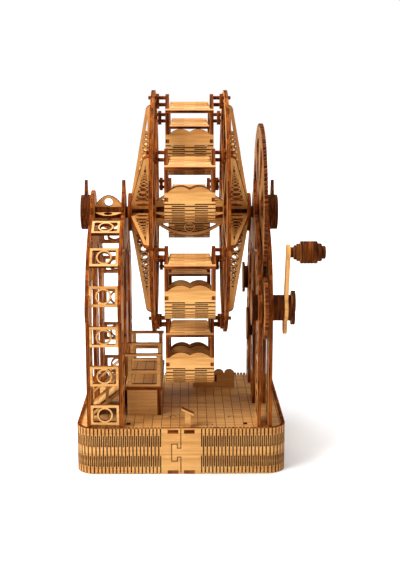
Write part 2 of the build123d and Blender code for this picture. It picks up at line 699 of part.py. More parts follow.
def gondola(number, angle):
    """One gondola hanging from its pins: side boards with links, roof and tub."""
    y, z = polar(PIVOT_R, angle, (0.0, AXLE_Z))
    name = f"gondola_{number}"
    with BuildPart() as sides:
        for side in (-1, 1):
            with BuildSketch(across(side * CAR_BOARD_X, y, z)):
                Polygon(*car_side(), align=None)
                with BuildLine():
                    CenterArc((0, 0), EAR_TOP, 60, 60)
                    Polyline(polar(EAR_TOP, 120), (0, 0), polar(EAR_TOP, 60))
                make_face()
                with Locations((0, -21.5)):
                    Rectangle(2 * tub_in - 8, 9, mode=Mode.SUBTRACT)
            extrude(amount=PLY / 2, both=True)
            with BuildSketch(across(side * LINK_X, y, z)):
                with Locations((0, -LINK_DROP / 2)):
                    Rectangle(2 * LINK_HALF, LINK_DROP + 2 * LINK_HALF)
            extrude(amount=PLY / 2, both=True)
            with BuildSketch(across(side * CAR_HALF_W, y, z)):
                disc(PIN_R, SMALL_SIDES)
            extrude(amount=side * (PIN_OUT - CAR_HALF_W))
            with BuildSketch(across(side * CAR_HALF_W, y, z)):
                with Locations((0, -LINK_DROP)):
                    disc(PEG_R, 4)
            extrude(amount=side * (LINK_X - PLY / 2 - CAR_HALF_W))
    keep(sides, name + "_sides")
    with BuildPart() as roof:
        with BuildSketch(across(0, y, z)):
            Polygon(*roof_line(ROOF_R), *reversed(roof_line(ROOF_R - PLY)), align=None)
        extrude(amount=CAR_HALF_W, both=True)
        for side in (-1, 1):
            with Locations((WHEEL_X + side * CAR_HALF_W, y, z - ROOF_RISE)):
                Box(2 * PLY + 2 * FIT, 2 * EAR_HALF + 2 * FIT, 4 * PLY, mode=Mode.SUBTRACT)
    keep(roof, name + "_roof")
    with BuildPart() as tub:
        with BuildSketch(across(0, y, z)):
            rise = [(CAR_HALF_L, -SHOULDER_Z), (tub_in, -SHOULDER_Z)]
            fall = [(-tub_in, -SHOULDER_Z), (-CAR_HALF_L, -SHOULDER_Z)]
            Polygon(*belly_line(CAR_HALF_L), *rise, *reversed(belly_line(tub_in)), *fall, align=None)
        extrude(amount=CAR_HALF_W, both=True)
        for end in (y - CAR_HALF_L + PLY / 2, y + CAR_HALF_L - PLY / 2):
            with BuildSketch(facing(end, 0, z - SHOULDER_Z)):
                hump = (CAR_HALF_W - PLY) / 2
                bow = [(cx, TUB_SHOULDER + cz * TUB_HUMP / hump) for cx, cz in arc_points(hump, 165, 15, 3)]
                arches = [(cx + mid, cz - 0.5) for mid in (-hump, hump) for cx, cz in bow]
                Polygon((2 * hump, -1), *reversed(arches), (-2 * hump, -1), align=None)
            extrude(amount=PLY / 2, both=True)
    keep(tub, name + "_tub")


for number, angle in enumerate(PIVOT_ANGLES, start=1):
    gondola(number, angle)

# ---------------------------------------------------------------- crank and pinions


with BuildPart() as crank_pinion:
    with BuildSketch(across(GEAR_X, CRANK_Y, CRANK_Z)):
        Polygon(*gear_outline(PINION_TEETH, 45 + 180 / PINION_TEETH), align=None)
        bore(CRANK_AXLE_R, PIN_SIDES)
    extrude(amount=PLY / 2, both=True)
keep(crank_pinion, "crank_pinion")

inner_face = INNER_FRAME_X - PLY / 2
outer_face = RIGHT_FRAME_X + PLY / 2
flange_in = inner_face - SIDE_GAP - PLY - FLANGE_T
arm_in = ARM_X - PLY / 2
arm_out = ARM_X + PLY / 2
crank_end = arm_out + CAP_GAP + PLY

with BuildPart() as tower_ties:
    for boss in BOSSES[1:]:
        for x0, x1, r, sides in (
            (inner_face - PLY - FLANGE_T, inner_face - PLY, FLANGE_R, AXLE_SIDES),
            (inner_face - PLY, inner_face, DRUM_R, AXLE_SIDES),
            (inner_face, outer_face, TIE_R, PIN_SIDES),
            (outer_face, outer_face + PLY, FLANGE_R, AXLE_SIDES),
        ):
            with BuildSketch(across(x0, boss[0], AXLE_Z + boss[1])):
                disc(r, sides)
            extrude(amount=x1 - x0)
keep(tower_ties, "tower_ties")

with BuildPart() as crank_axle:
    with BuildSketch(across(flange_in, CRANK_Y, CRANK_Z)):
        Circle(CRANK_AXLE_R)
    extrude(amount=crank_end - flange_in)
keep(crank_axle, "crank_axle")

arm_up = 90 + CRANK_TILT
pin_y, pin_z = polar(ARM_LEN, arm_up, (CRANK_Y, CRANK_Z))

with BuildPart() as crank_discs:
    for x0, x1, r in (
        (flange_in, flange_in + FLANGE_T, FLANGE_R),
        (flange_in + FLANGE_T, inner_face - SIDE_GAP, DRUM_R),
        (outer_face + SIDE_GAP, arm_in, DRUM_R),
        (arm_out, arm_out + CAP_GAP, DRUM_R),
    ):
        with BuildSketch(across(x0, CRANK_Y, CRANK_Z)):
            disc(r, AXLE_SIDES)
            bore(CRANK_AXLE_R, PIN_SIDES)
        extrude(amount=x1 - x0)
    with BuildSketch(across(arm_out + CAP_GAP, CRANK_Y, CRANK_Z)):
        with Locations(polar(5, arm_up), polar(-5, arm_up)):
            disc(DRUM_R - 1, AXLE_SIDES)
        bore(CRANK_AXLE_R, PIN_SIDES)
    extrude(amount=PLY)
keep(crank_discs, "crank_discs")

with BuildPart() as crank_arm:
    with BuildSketch(across(ARM_X, CRANK_Y, CRANK_Z)):
        tip = polar(ARM_LEN, arm_up)
        tail = polar(-ARM_TAIL, arm_up)
        with Locations(tip, tail):
            disc(ARM_HALF, AXLE_SIDES)
        bar(tip, tail, 2 * ARM_HALF - 2)
        disc(DRUM_R, AXLE_SIDES)
        bore(CRANK_AXLE_R, PIN_SIDES)
        with Locations(tip):
            bore(KNOB_PIN_R, PIN_SIDES)
    extrude(amount=PLY / 2, both=True)
keep(crank_arm, "crank_arm")

knob_len = sum(length for length, _ in KNOB_STEPS)
with BuildPart() as knob_pin:
    with BuildSketch(across(arm_in, pin_y, pin_z)):
        Circle(KNOB_PIN_R)
    extrude(amount=PLY + SIDE_GAP + knob_len - 4)
keep(knob_pin, "knob_pin")

with BuildPart() as crank_knob:
    x = arm_out + SIDE_GAP
    for length, r in KNOB_STEPS:
        with BuildSketch(across(x, pin_y, pin_z)):
            disc(r, AXLE_SIDES)
        extrude(amount=length)
        x += length
    with BuildSketch(across(arm_out + SIDE_GAP, pin_y, pin_z)):
        disc((KNOB_PIN_R + RUN) / cos(pi / PIN_SIDES), PIN_SIDES)
    extrude(amount=knob_len - 3.7, mode=Mode.SUBTRACT)
keep(crank_knob, "crank_knob")
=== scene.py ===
"""The looks of a hand-cranked plywood ferris wheel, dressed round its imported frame.

Nearly every piece of the real toy is cut from one 3 mm sheet, so a piece here is a flat
pattern: closed loops of corners, filled with triangles and carried through the sheet's
thickness. A pattern lies flat on a plane, or it is wrapped round a path where living
hinges let the sheet bend. Sizes are in millimetres, and meshes are written in metres.
"""

import logging
from collections.abc import Callable
from dataclasses import dataclass, field
from enum import Enum
from math import asin, atan2, cos, degrees, hypot, pi, radians, sin

import bpy
import numpy as np
from mathutils.geometry import delaunay_2d_cdt
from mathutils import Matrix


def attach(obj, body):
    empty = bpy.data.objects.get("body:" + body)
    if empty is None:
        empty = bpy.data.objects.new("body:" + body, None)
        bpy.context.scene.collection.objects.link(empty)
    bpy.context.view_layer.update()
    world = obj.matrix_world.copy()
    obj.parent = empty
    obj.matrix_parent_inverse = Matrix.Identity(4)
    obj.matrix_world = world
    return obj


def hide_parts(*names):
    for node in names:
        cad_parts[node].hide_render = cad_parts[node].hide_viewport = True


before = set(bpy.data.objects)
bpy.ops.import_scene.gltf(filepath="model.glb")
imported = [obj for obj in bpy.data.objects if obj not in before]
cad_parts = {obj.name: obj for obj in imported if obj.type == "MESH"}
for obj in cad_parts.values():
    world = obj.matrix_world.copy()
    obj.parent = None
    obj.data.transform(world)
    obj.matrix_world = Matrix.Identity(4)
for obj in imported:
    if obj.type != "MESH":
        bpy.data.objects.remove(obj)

LOG = logging.getLogger("ferris_wheel")
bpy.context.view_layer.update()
MM = 0.001  # metres in a millimetre
PLY = 3.0  # thickness of the sheet
FIT = 0.1  # gap between pieces that are fitted together
RUN = 0.08  # gap round a pin or an axle that turns

BASE_W = 174.0  # the box along X
BASE_L = 170.0  # the box along Y
BASE_H = 39.6  # the box along Z
CORNER_R = 16.5
FLOOR_TOP = BASE_H - 1.4  # the floor lies a little under the wall's rim
AXLE_Z = BASE_H + 169.0
WHEEL_X = 7.5  # the wheel's middle along the axle
PIVOT_R = 100.0  # radius of the circle that the gondolas' pins lie on
SEATS = 8
PHASE = 10.4  # degrees from upright to the first spoke
PIVOT_ANGLES = [90 + PHASE + 360 / SEATS * k for k in range(SEATS)]
BRACE_ANGLES = [90 + PHASE + 90 * k for k in range(4)]
INNER_X, LEFT_X, RIGHT_X = 57.0, 83.5, 66.0  # middles of the side frames, from the wheel's
FOOT_YS = (-68.0, 0.0, 68.0)  # middles of the three feet of each side frame
FOOT_HALF = 6.0
FOOT_Z = FLOOR_TOP - AXLE_Z  # the frames' lower edge, from the axle

ROUND_SHARE = 0.45  # share of a side that a rounded corner takes at most
GRAIN_STEP, GRAIN_SPAN = np.array([37.0, 61.0]), np.array([211, 173])  # shift of a sheet's grain
LOOP_JOIN = 1e-5  # corners of loops that lie nearer than this, in millimetres, are one
SLIVER = 1e-9  # twice the area, in square millimetres, from which a triangle is kept
WELD_STEPS = 1e7  # corners of a mesh that round to the same step of a metre are one
SHARP_ANGLE = 32.0  # degrees between two faces above which their edge is sharp

Points = np.ndarray
Place = Callable[[Points], Points]
Pair = tuple[float, float]
Triple = tuple[float, float, float]
Socket = bpy.types.NodeSocket


class Grain(Enum):
    """Where a wood finish reads its grain and which way the sheet faces."""

    PATTERN = "uv"
    ACROSS_X = "x"
    ACROSS_Y = "y"
    ACROSS_Z = "z"


# ------------------------------------------------------------------ patterns


def ring(centre: Pair, radius: float, count: int = 28, squash: float = 1.0) -> Points:
    """Closed loop round a centre: radius times (cos t, squash sin t), t in even steps.

    Args:
        centre: middle of the loop.
        radius: half of its width.
        count: number of corners.
        squash: height over width.

    Returns:
        Corners, one row each.
    """
    t = np.linspace(0, 2 * pi, count, endpoint=False)
    return np.column_stack([centre[0] + radius * np.cos(t), centre[1] + squash * radius * np.sin(t)])


def rect(x0: float, y0: float, x1: float, y1: float) -> Points:
    """Four corners of an upright rectangle, counter-clockwise."""
    return np.array([(x0, y0), (x1, y0), (x1, y1), (x0, y1)], dtype=float)


def polar(radius: float, angle: float, centre: Pair = (0.0, 0.0)) -> Pair:
    """Point at a radius and an angle in degrees round a centre."""
    return (centre[0] + radius * cos(radians(angle)), centre[1] + radius * sin(radians(angle)))


def arc(centre: Pair, radius: float, start: float, end: float, count: int) -> Points:
    """Corners along an arc from one angle to another, in degrees, both ends included."""
    t = np.radians(np.linspace(start, end, count))
    return np.column_stack([centre[0] + radius * np.cos(t), centre[1] + radius * np.sin(t)])


def rounded(loop: Points, radius: float, steps: int = 4) -> Points:
    """Rounds the corners of a loop.

    Each corner c gives way to the curve (1-t)^2 a + 2t(1-t) c + t^2 b, where a and b lie
    on its two sides at the radius, or at ROUND_SHARE of the side where that is shorter.

    Args:
        loop: corners of a closed loop.
        radius: distance from a corner at which its curve starts.
        steps: points along each curve.

    Returns:
        The rounded loop.
    """
    before = np.roll(loop, 1, axis=0) - loop
    after = np.roll(loop, -1, axis=0) - loop
    len_b = np.linalg.norm(before, axis=1, keepdims=True)
    len_a = np.linalg.norm(after, axis=1, keepdims=True)
    a = loop + before / len_b * np.minimum(radius, ROUND_SHARE * len_b)
    b = loop + after / len_a * np.minimum(radius, ROUND_SHARE * len_a)
    t = np.linspace(0, 1, steps)[None, :, None]
    curve = (1 - t) ** 2 * a[:, None] + 2 * t * (1 - t) * loop[:, None] + t**2 * b[:, None]
    return curve.reshape(-1, 2)


def strip(a: Pair, b: Pair, width: float) -> Points:
    """Corners of a straight bar of a width from one point to another.

    Args:
        a: start of its middle line.
        b: end of its middle line.
        width: its width.

    Returns:
        Corners, counter-clockwise.
    """
    a_, b_ = np.array(a, dtype=float), np.array(b, dtype=float)
    along = (b_ - a_) / np.linalg.norm(b_ - a_)
    side = np.array([-along[1], along[0]]) * width / 2
    return np.array([a_ - side, b_ - side, b_ + side, a_ + side])


# ------------------------------------------------------------------ places


def flat(origin: Triple, u: Triple, v: Triple) -> Place:
    """Lays a pattern on a plane: origin + u times its x + v times its y + w times u x v.

    Args:
        origin: place of the pattern's origin.
        u: direction of its x.
        v: direction of its y.

    Returns:
        The placing function.
    """
    o, u_, v_ = (np.array(p, dtype=float) for p in (origin, u, v))
    n = np.cross(u_, v_)
    return lambda p: o + p[:, :1] * u_ + p[:, 1:2] * v_ + p[:, 2:3] * n


def board(x: float, y: float = 0.0, z: float = AXLE_Z) -> Place:
    """Plane of a board that stands square to the axle, x from the wheel's middle."""
    return flat((WHEEL_X + x, y, z), (0, 1, 0), (0, 0, 1))


def facing(y: float, z: float = FLOOR_TOP) -> Place:
    """Plane of a board that faces the front; a pattern's x is measured from the wheel's middle."""
    return flat((WHEEL_X, y, z), (1, 0, 0), (0, 0, 1))


def radial(angle: float, x: float = 0.0, side: int = 1) -> Place:
    """Plane through the axle: a pattern's x runs along the axle, its y away from it at an angle."""
    away = (0, cos(radians(angle)), sin(radians(angle)))
    return flat((WHEEL_X + x, 0, AXLE_Z), (side, 0, 0), away)


# ------------------------------------------------------------------ meshes


def contains(loop: Points, spots: Points) -> Points:
    """Whether spots lie inside a loop: a ray along +x crosses its sides an odd number of times.

    Args:
        loop: corners of a closed loop.
        spots: the spots, one row each.

    Returns:
        A truth value for each spot.
    """
    x0, y0 = loop.T
    x1, y1 = np.roll(loop, -1, axis=0).T
    px, py = spots[:, :1], spots[:, 1:]
    rise = np.where(y1 == y0, 1.0, y1 - y0)  # a level side is never crossed
    crossed = ((y0 > py) != (y1 > py)) & (px < (x1 - x0) * (py - y0) / rise + x0)
    return crossed.sum(axis=1) % 2 == 1


class Pattern:
    """Flat pattern made in order: each step adds or cuts what a closed loop encloses."""

    def __init__(self, *outlines: Points) -> None:
        """Starts with what the outlines enclose."""
        self.steps: list[tuple[Points, bool]] = [(loop, True) for loop in outlines]

    def add(self, *loops: Points) -> "Pattern":
        """Adds what each loop encloses."""
        self.steps += [(loop, True) for loop in loops]
        return self

    def cut(self, *loops: Points) -> "Pattern":
        """Cuts what each loop encloses."""
        self.steps += [(loop, False) for loop in loops]
        return self

    def hoop(self, centre: Pair, radius: float, stroke: float, squash: float = 1.0) -> "Pattern":
        """Adds a hoop: a ring's inside, less that of a ring smaller by the stroke.

        Args:
            centre: middle of the hoop.
            radius: half its outer width.
            stroke: width of its band.
            squash: height over width.

        Returns:
            The pattern itself.
        """
        inner = (radius * squash - stroke) / (radius - stroke)
        self.add(ring(centre, radius, 28, squash))
        return self.cut(ring(centre, radius - stroke, 28, inner))

    def triangles(self) -> tuple[Points, Points]:
        """Fills the pattern.

        All the loops' sides are joined into one triangulation, and a triangle stays where
        the last loop that encloses its middle was an added one.

        Returns:
            Corners and triangles, each triangle counter-clockwise.
        """
        loops = [loop for loop, _ in self.steps]
        edges, start = [], 0
        for loop in loops:
            index = np.arange(len(loop))
            edges.append(np.column_stack([index, (index + 1) % len(loop)]) + start)
            start += len(loop)
        pairs = np.concatenate(edges).tolist()
        out, _, faces, *_ = delaunay_2d_cdt(np.concatenate(loops).tolist(), pairs, [], 0, LOOP_JOIN)
        corners = np.array([tuple(p) for p in out])
        tris = np.array(faces)
        a, b, c = (corners[tris[:, k]] for k in range(3))
        turn = (b[:, 0] - a[:, 0]) * (c[:, 1] - a[:, 1]) - (b[:, 1] - a[:, 1]) * (c[:, 0] - a[:, 0])
        tris[turn < 0] = tris[turn < 0][:, ::-1]
        middles = (a + b + c) / 3
        kept = np.zeros(len(tris), dtype=bool)
        for loop, added in self.steps:
            kept[contains(loop, middles)] = added
        tris = tris[kept & (np.abs(turn) > SLIVER)]
        used, index = np.unique(tris, return_inverse=True)
        return corners[used], index.reshape(-1, 3)


def border(tris: Points) -> Points:
    """Directed edges that only one triangle has, with the sheet on their left.

    Args:
        tris: triangles of a sheet.

    Returns:
        Edges, as rows of two corners.
    """
    edges = np.concatenate([tris[:, [0, 1]], tris[:, [1, 2]], tris[:, [2, 0]]])
    key = edges[:, 0].astype(np.int64) * (tris.max() + 1) + edges[:, 1]
    back = edges[:, 1].astype(np.int64) * (tris.max() + 1) + edges[:, 0]
    return edges[~np.isin(key, back)]


@dataclass
class Piece:
    """A mesh under construction: sheets and turned forms are added, then it is built."""

    name: str
    body: str
    replaces: tuple[str, ...]
    slot: str = "birch"
    edge: "Finish | None" = None
    verts: list[Points] = field(default_factory=list)
    tris: list[Points] = field(default_factory=list)
    uvs: list[Points] = field(default_factory=list)
    cut: list[Points] = field(default_factory=list)
    count: int = 0
    shift: int = 0

    def _put(self, verts: Points, tris: Points, uvs: Points, cut: bool) -> None:
        """Adds triangles, their pattern coordinates and whether they are cut edges.

        Args:
            verts: corners in the object's frame.
            tris: triangles, as rows of three corners.
            uvs: three coordinates for each triangle.
            cut: whether they are cut edges.
        """
        self.verts.append(verts)
        self.tris.append(tris + self.count)
        self.uvs.append(uvs)
        self.cut.append(np.full(len(tris), int(cut)))
        self.count += len(verts)

    def sheet(self, pattern: Pattern, place: Place, thick: float = PLY, turned: bool = False) -> "Piece":
        """Adds a sheet: two faces at plus and minus half the thickness, and a wall between.

        Args:
            pattern: the sheet's pattern, in millimetres.
            place: puts (x, y, w) rows, w across the sheet, into the object's frame.
            thick: thickness of the sheet.
            turned: whether the grain runs along the pattern's y.

        Returns:
            The piece itself.
        """
        corners, tris = pattern.triangles()
        n = len(corners)
        half = np.full((n, 1), thick / 2)
        level = place(np.hstack([corners, half]))
        under = place(np.hstack([corners, -half]))
        step = 1e-3
        probe = place(np.vstack([np.zeros(3), np.eye(3)]) * step + np.append(corners[0], 0.0))
        mirrored = np.linalg.det(probe[1:] - probe[0]) < 0
        self.shift += 1
        grain = corners[:, ::-1] if turned else corners
        # Each sheet of a piece reads another part of the grain.
        uv = (grain + GRAIN_STEP * self.shift % GRAIN_SPAN) * MM
        edges = border(tris)
        a, b = edges[:, 0], edges[:, 1]
        length = np.linalg.norm(corners[b] - corners[a], axis=1)
        run = np.cumsum(length) - length
        low, high = np.full(len(a), -thick / 2), np.full(len(a), thick / 2)
        q = [np.column_stack([run, low]), np.column_stack([run + length, low])]
        q += [np.column_stack([run + length, high]), np.column_stack([run, high])]
        q = [c * MM for c in q]
        walls = np.concatenate([np.column_stack([a + n, b + n, b]), np.column_stack([a + n, b, a])])
        wall_uv = np.concatenate([np.stack([q[0], q[1], q[2]], 1), np.stack([q[0], q[2], q[3]], 1)])
        order = slice(None, None, -1) if mirrored else slice(None)
        self._put(level, tris[:, order], uv[tris][:, order], cut=False)
        self._put(under, tris[:, ::-1][:, order], uv[tris[:, ::-1]][:, order], cut=False)
        self._put(np.concatenate([level, under]), walls[:, order], wall_uv[:, order], cut=True)
        return self

    def turned(self, profile: Points, start: Triple, count: int) -> "Piece":
        """Adds a form turned about a line along X: (x, r cos t, r sin t) over profile and t.

        Args:
            profile: rows of x from the start and radius, both ends on the line or round a bore.
            start: point of the line that the profile's x is measured from.
            count: corners round the form.

        Returns:
            The piece itself.
        """
        t = np.linspace(0, 2 * pi, count, endpoint=False)
        x = np.repeat(profile[:, 0], count) + start[0]
        y = start[1] + np.outer(profile[:, 1], np.cos(t)).ravel()
        z = start[2] + np.outer(profile[:, 1], np.sin(t)).ravel()
        rows = len(profile)
        i, j = np.meshgrid(np.arange(rows - 1), np.arange(count), indexing="ij")
        i, j = i.ravel(), j.ravel()
        k = (j + 1) % count
        a, b, c, d = i * count + j, i * count + k, (i + 1) * count + k, (i + 1) * count + j
        tris = np.concatenate([np.column_stack([a, b, c]), np.column_stack([a, c, d])])
        length = np.append(0, np.cumsum(np.linalg.norm(np.diff(profile, axis=0), axis=1)))
        across = 2 * pi * profile[:, 1].max() / count
        ua = np.column_stack([j * across, length[i]])
        ub = np.column_stack([(j + 1) * across, length[i]])
        uc = np.column_stack([(j + 1) * across, length[i + 1]])
        ud = np.column_stack([j * across, length[i + 1]])
        uv = np.concatenate([np.stack([ua, ub, uc], 1), np.stack([ua, uc, ud], 1)]) * MM
        flat_end = np.abs(np.diff(profile[:, 0]))[i] < 1e-6
        flags = np.concatenate([flat_end, flat_end])
        verts = np.column_stack([x, y, z])
        for is_flat in (True, False):
            pick = flags == is_flat
            if pick.any():
                self._put(verts, tris[pick], uv[pick], cut=not is_flat)
        return self

    def build(self) -> bpy.types.Object:
        """Writes the mesh, hands the piece to its body and gives it its two finishes.

        Returns:
            The Blender object.
        """
        verts = np.concatenate(self.verts) * MM
        steps = np.round(verts * WELD_STEPS)
        _, first, index = np.unique(steps, axis=0, return_index=True, return_inverse=True)
        tris = index.reshape(-1)[np.concatenate(self.tris)]
        whole = (tris[:, 0] != tris[:, 1]) & (tris[:, 1] != tris[:, 2]) & (tris[:, 2] != tris[:, 0])
        tris, uvs, cut = tris[whole], np.concatenate(self.uvs)[whole], np.concatenate(self.cut)[whole]
        mesh = bpy.data.meshes.new(self.name)
        mesh.from_pydata(verts[first], [], tris)
        mesh.uv_layers.new(name="grain").data.foreach_set("uv", uvs.ravel().astype(np.float32))
        mesh.polygons.foreach_set("material_index", cut.astype(np.int32))
        mesh.polygons.foreach_set("use_smooth", np.ones(len(tris), dtype=bool))
        mesh.set_sharp_from_angle(angle=radians(SHARP_ANGLE))
        mesh.update()
        obj = bpy.data.objects.new(self.name, mesh)
        bpy.context.scene.collection.objects.link(obj)
        for finish in (FACE, self.edge or EDGE):
            mesh.materials.append(finish.material())
        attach(obj, self.body)
        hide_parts(*self.replaces)
        LOG.info("%s: %d triangles, rides on %s", self.name, len(tris), self.body)
        return obj


# ------------------------------------------------------------------ finishes


class Nodes:
    """Short way to add and join shader nodes in one material."""

    def __init__(self, name: str) -> None:
        """Starts an empty material with a principled shader on its output.

        Args:
            name: the material's name.
        """
        self.material = bpy.data.materials.new(name)
        self.material.use_nodes = True
        self.tree = self.material.node_tree
        self.shader = self.tree.nodes["Principled BSDF"]

    def add(self, kind: str, **values: object) -> bpy.types.Node:
        """Adds a node.

        Args:
            kind: type of the node, without the word ShaderNode.
            values: its options, or its inputs where a name starts with i and a number.

        Returns:
            The node.
        """
        node = self.tree.nodes.new("ShaderNode" + kind)
        for key, value in values.items():
            if key[0] == "i" and key[1:].isdigit():
                socket = node.inputs[int(key[1:])]
                if isinstance(value, Socket):
                    self.tree.links.new(value, socket)
                else:
                    socket.default_value = value
            else:
                setattr(node, key, value)
        return node

    def math(self, operation: str, a: object, b: object = 0.0, clamp: bool = False) -> Socket:
        """Result of one sum, product or comparison of two values."""
        return self.add("Math", operation=operation, use_clamp=clamp, i0=a, i1=b).outputs[0]

    def blend(self, *parts: tuple[Socket, float]) -> Socket:
        """Sum of two values, each times its share."""
        return self.math("ADD", *[self.math("MULTIPLY", part, share) for part, share in parts])

    def noise(
        self, where: Socket, stretch: Pair, detail: float, rough: float, warp: float = 0.0
    ) -> Socket:
        """Flat noise over coordinates in metres.

        Args:
            where: the coordinates.
            stretch: how many waves a metre holds, along and across the grain.
            detail: how many finer layers lie on the first one.
            rough: weight of the finer layers.
            warp: how far the noise bends its own coordinates.

        Returns:
            A value from 0 to 1.
        """
        at = self.add("Mapping", i0=where, i3=(*stretch, 1.0)).outputs[0]
        kind = {"noise_dimensions": "2D"}
        return self.add("TexNoise", **kind, i0=at, i2=1.0, i3=detail, i4=rough, i8=warp).outputs[0]

    def ramp(self, value: object, stops: list[tuple[float, Triple]]) -> Socket:
        """Colour that a value picks from a row of stops.

        Args:
            value: the value.
            stops: places from 0 to 1, each with its colour.

        Returns:
            The colour.
        """
        node = self.add("ValToRGB", i0=value)
        elements = node.color_ramp.elements
        while len(elements) < len(stops):
            elements.new(0.5)
        for element, (at, colour) in zip(elements, stops):
            element.position = at
            element.color = (*colour, 1.0)
        return node.outputs[0]

    def mix(self, amount: object, a: object, b: object) -> Socket:
        """Blend of two colours; the node's inputs 6 and 7 and its output 2 are its colours."""
        a, b = (c if isinstance(c, Socket) else (*c, 1.0) for c in (a, b))
        return self.add("Mix", data_type="RGBA", i0=amount, i6=a, i7=b).outputs[2]

    def link(self, source: Socket, socket: str) -> None:
        """Joins a value to one of the shader's sockets."""
        self.tree.links.new(source, self.shader.inputs[socket])

    def gloss(self, roughness: float, specular: float) -> None:
        """Sets how the shader shines, on its own sockets."""
        self.shader.inputs["Roughness"].default_value = roughness
        self.shader.inputs["Specular IOR Level"].default_value = specular


def srgb(r: int, g: int, b: int) -> Triple:
    """Linear colour of three 0 to 255 screen values."""
    return tuple((c / 255 / 12.92) if c <= 10 else ((c / 255 + 0.055) / 1.055) ** 2.4 for c in (r, g, b))


BLOTCH_SHARE, LINE_SHARE = 0.7, 0.3
SCORCH = ((0.34, (50, 18, 3)), (0.46, (96, 41, 8)), (0.58, (137, 69, 17)), (0.74, (176, 102, 36)))


def cut_colour(n: Nodes, where: Socket, tone: float = 1.0) -> Socket:
    """Colour of a laser-cut edge: scorched brown, lighter in blotches and between plies.

    Args:
        n: nodes of the material.
        where: coordinates, the second one across the sheet's thickness.
        tone: factor on the edge's brightness.

    Returns:
        The colour.
    """
    blotch = n.noise(where, stretch=(34.0, 300.0), detail=3.0, rough=0.6)
    lines = n.noise(where, stretch=(14.0, 1300.0), detail=1.0, rough=0.5)
    value = n.blend((blotch, BLOTCH_SHARE), (lines, LINE_SHARE))
    return n.ramp(value, [(at, tuple(tone * c for c in srgb(*shade))) for at, shade in SCORCH])


@dataclass(frozen=True)
class Finish:
    """A finish of the toy, whose material is made once under the finish's name."""

    name: str

    def material(self) -> bpy.types.Material:
        """The finish's material, made when it is first asked for."""
        return bpy.data.materials.get(self.name) or self._make()

    def _make(self) -> bpy.types.Material:
        """Builds the material; each kind of finish has its own way."""
        raise NotImplementedError


@dataclass(frozen=True)
class CutEdge(Finish):
    """Laser-cut edge of the ply: scorched, with the plies showing as fine lines."""

    tone: float = 1.0
    roughness: float = 0.75
    specular: float = 0.06

    def _make(self) -> bpy.types.Material:
        """Builds the nodes from the scorched colour.

        Returns:
            The material.
        """
        n = Nodes(self.name)
        where = n.add("UVMap", uv_map="grain").outputs[0]
        n.link(cut_colour(n, where, self.tone), "Base Color")
        n.gloss(self.roughness, self.specular)
        return n.material


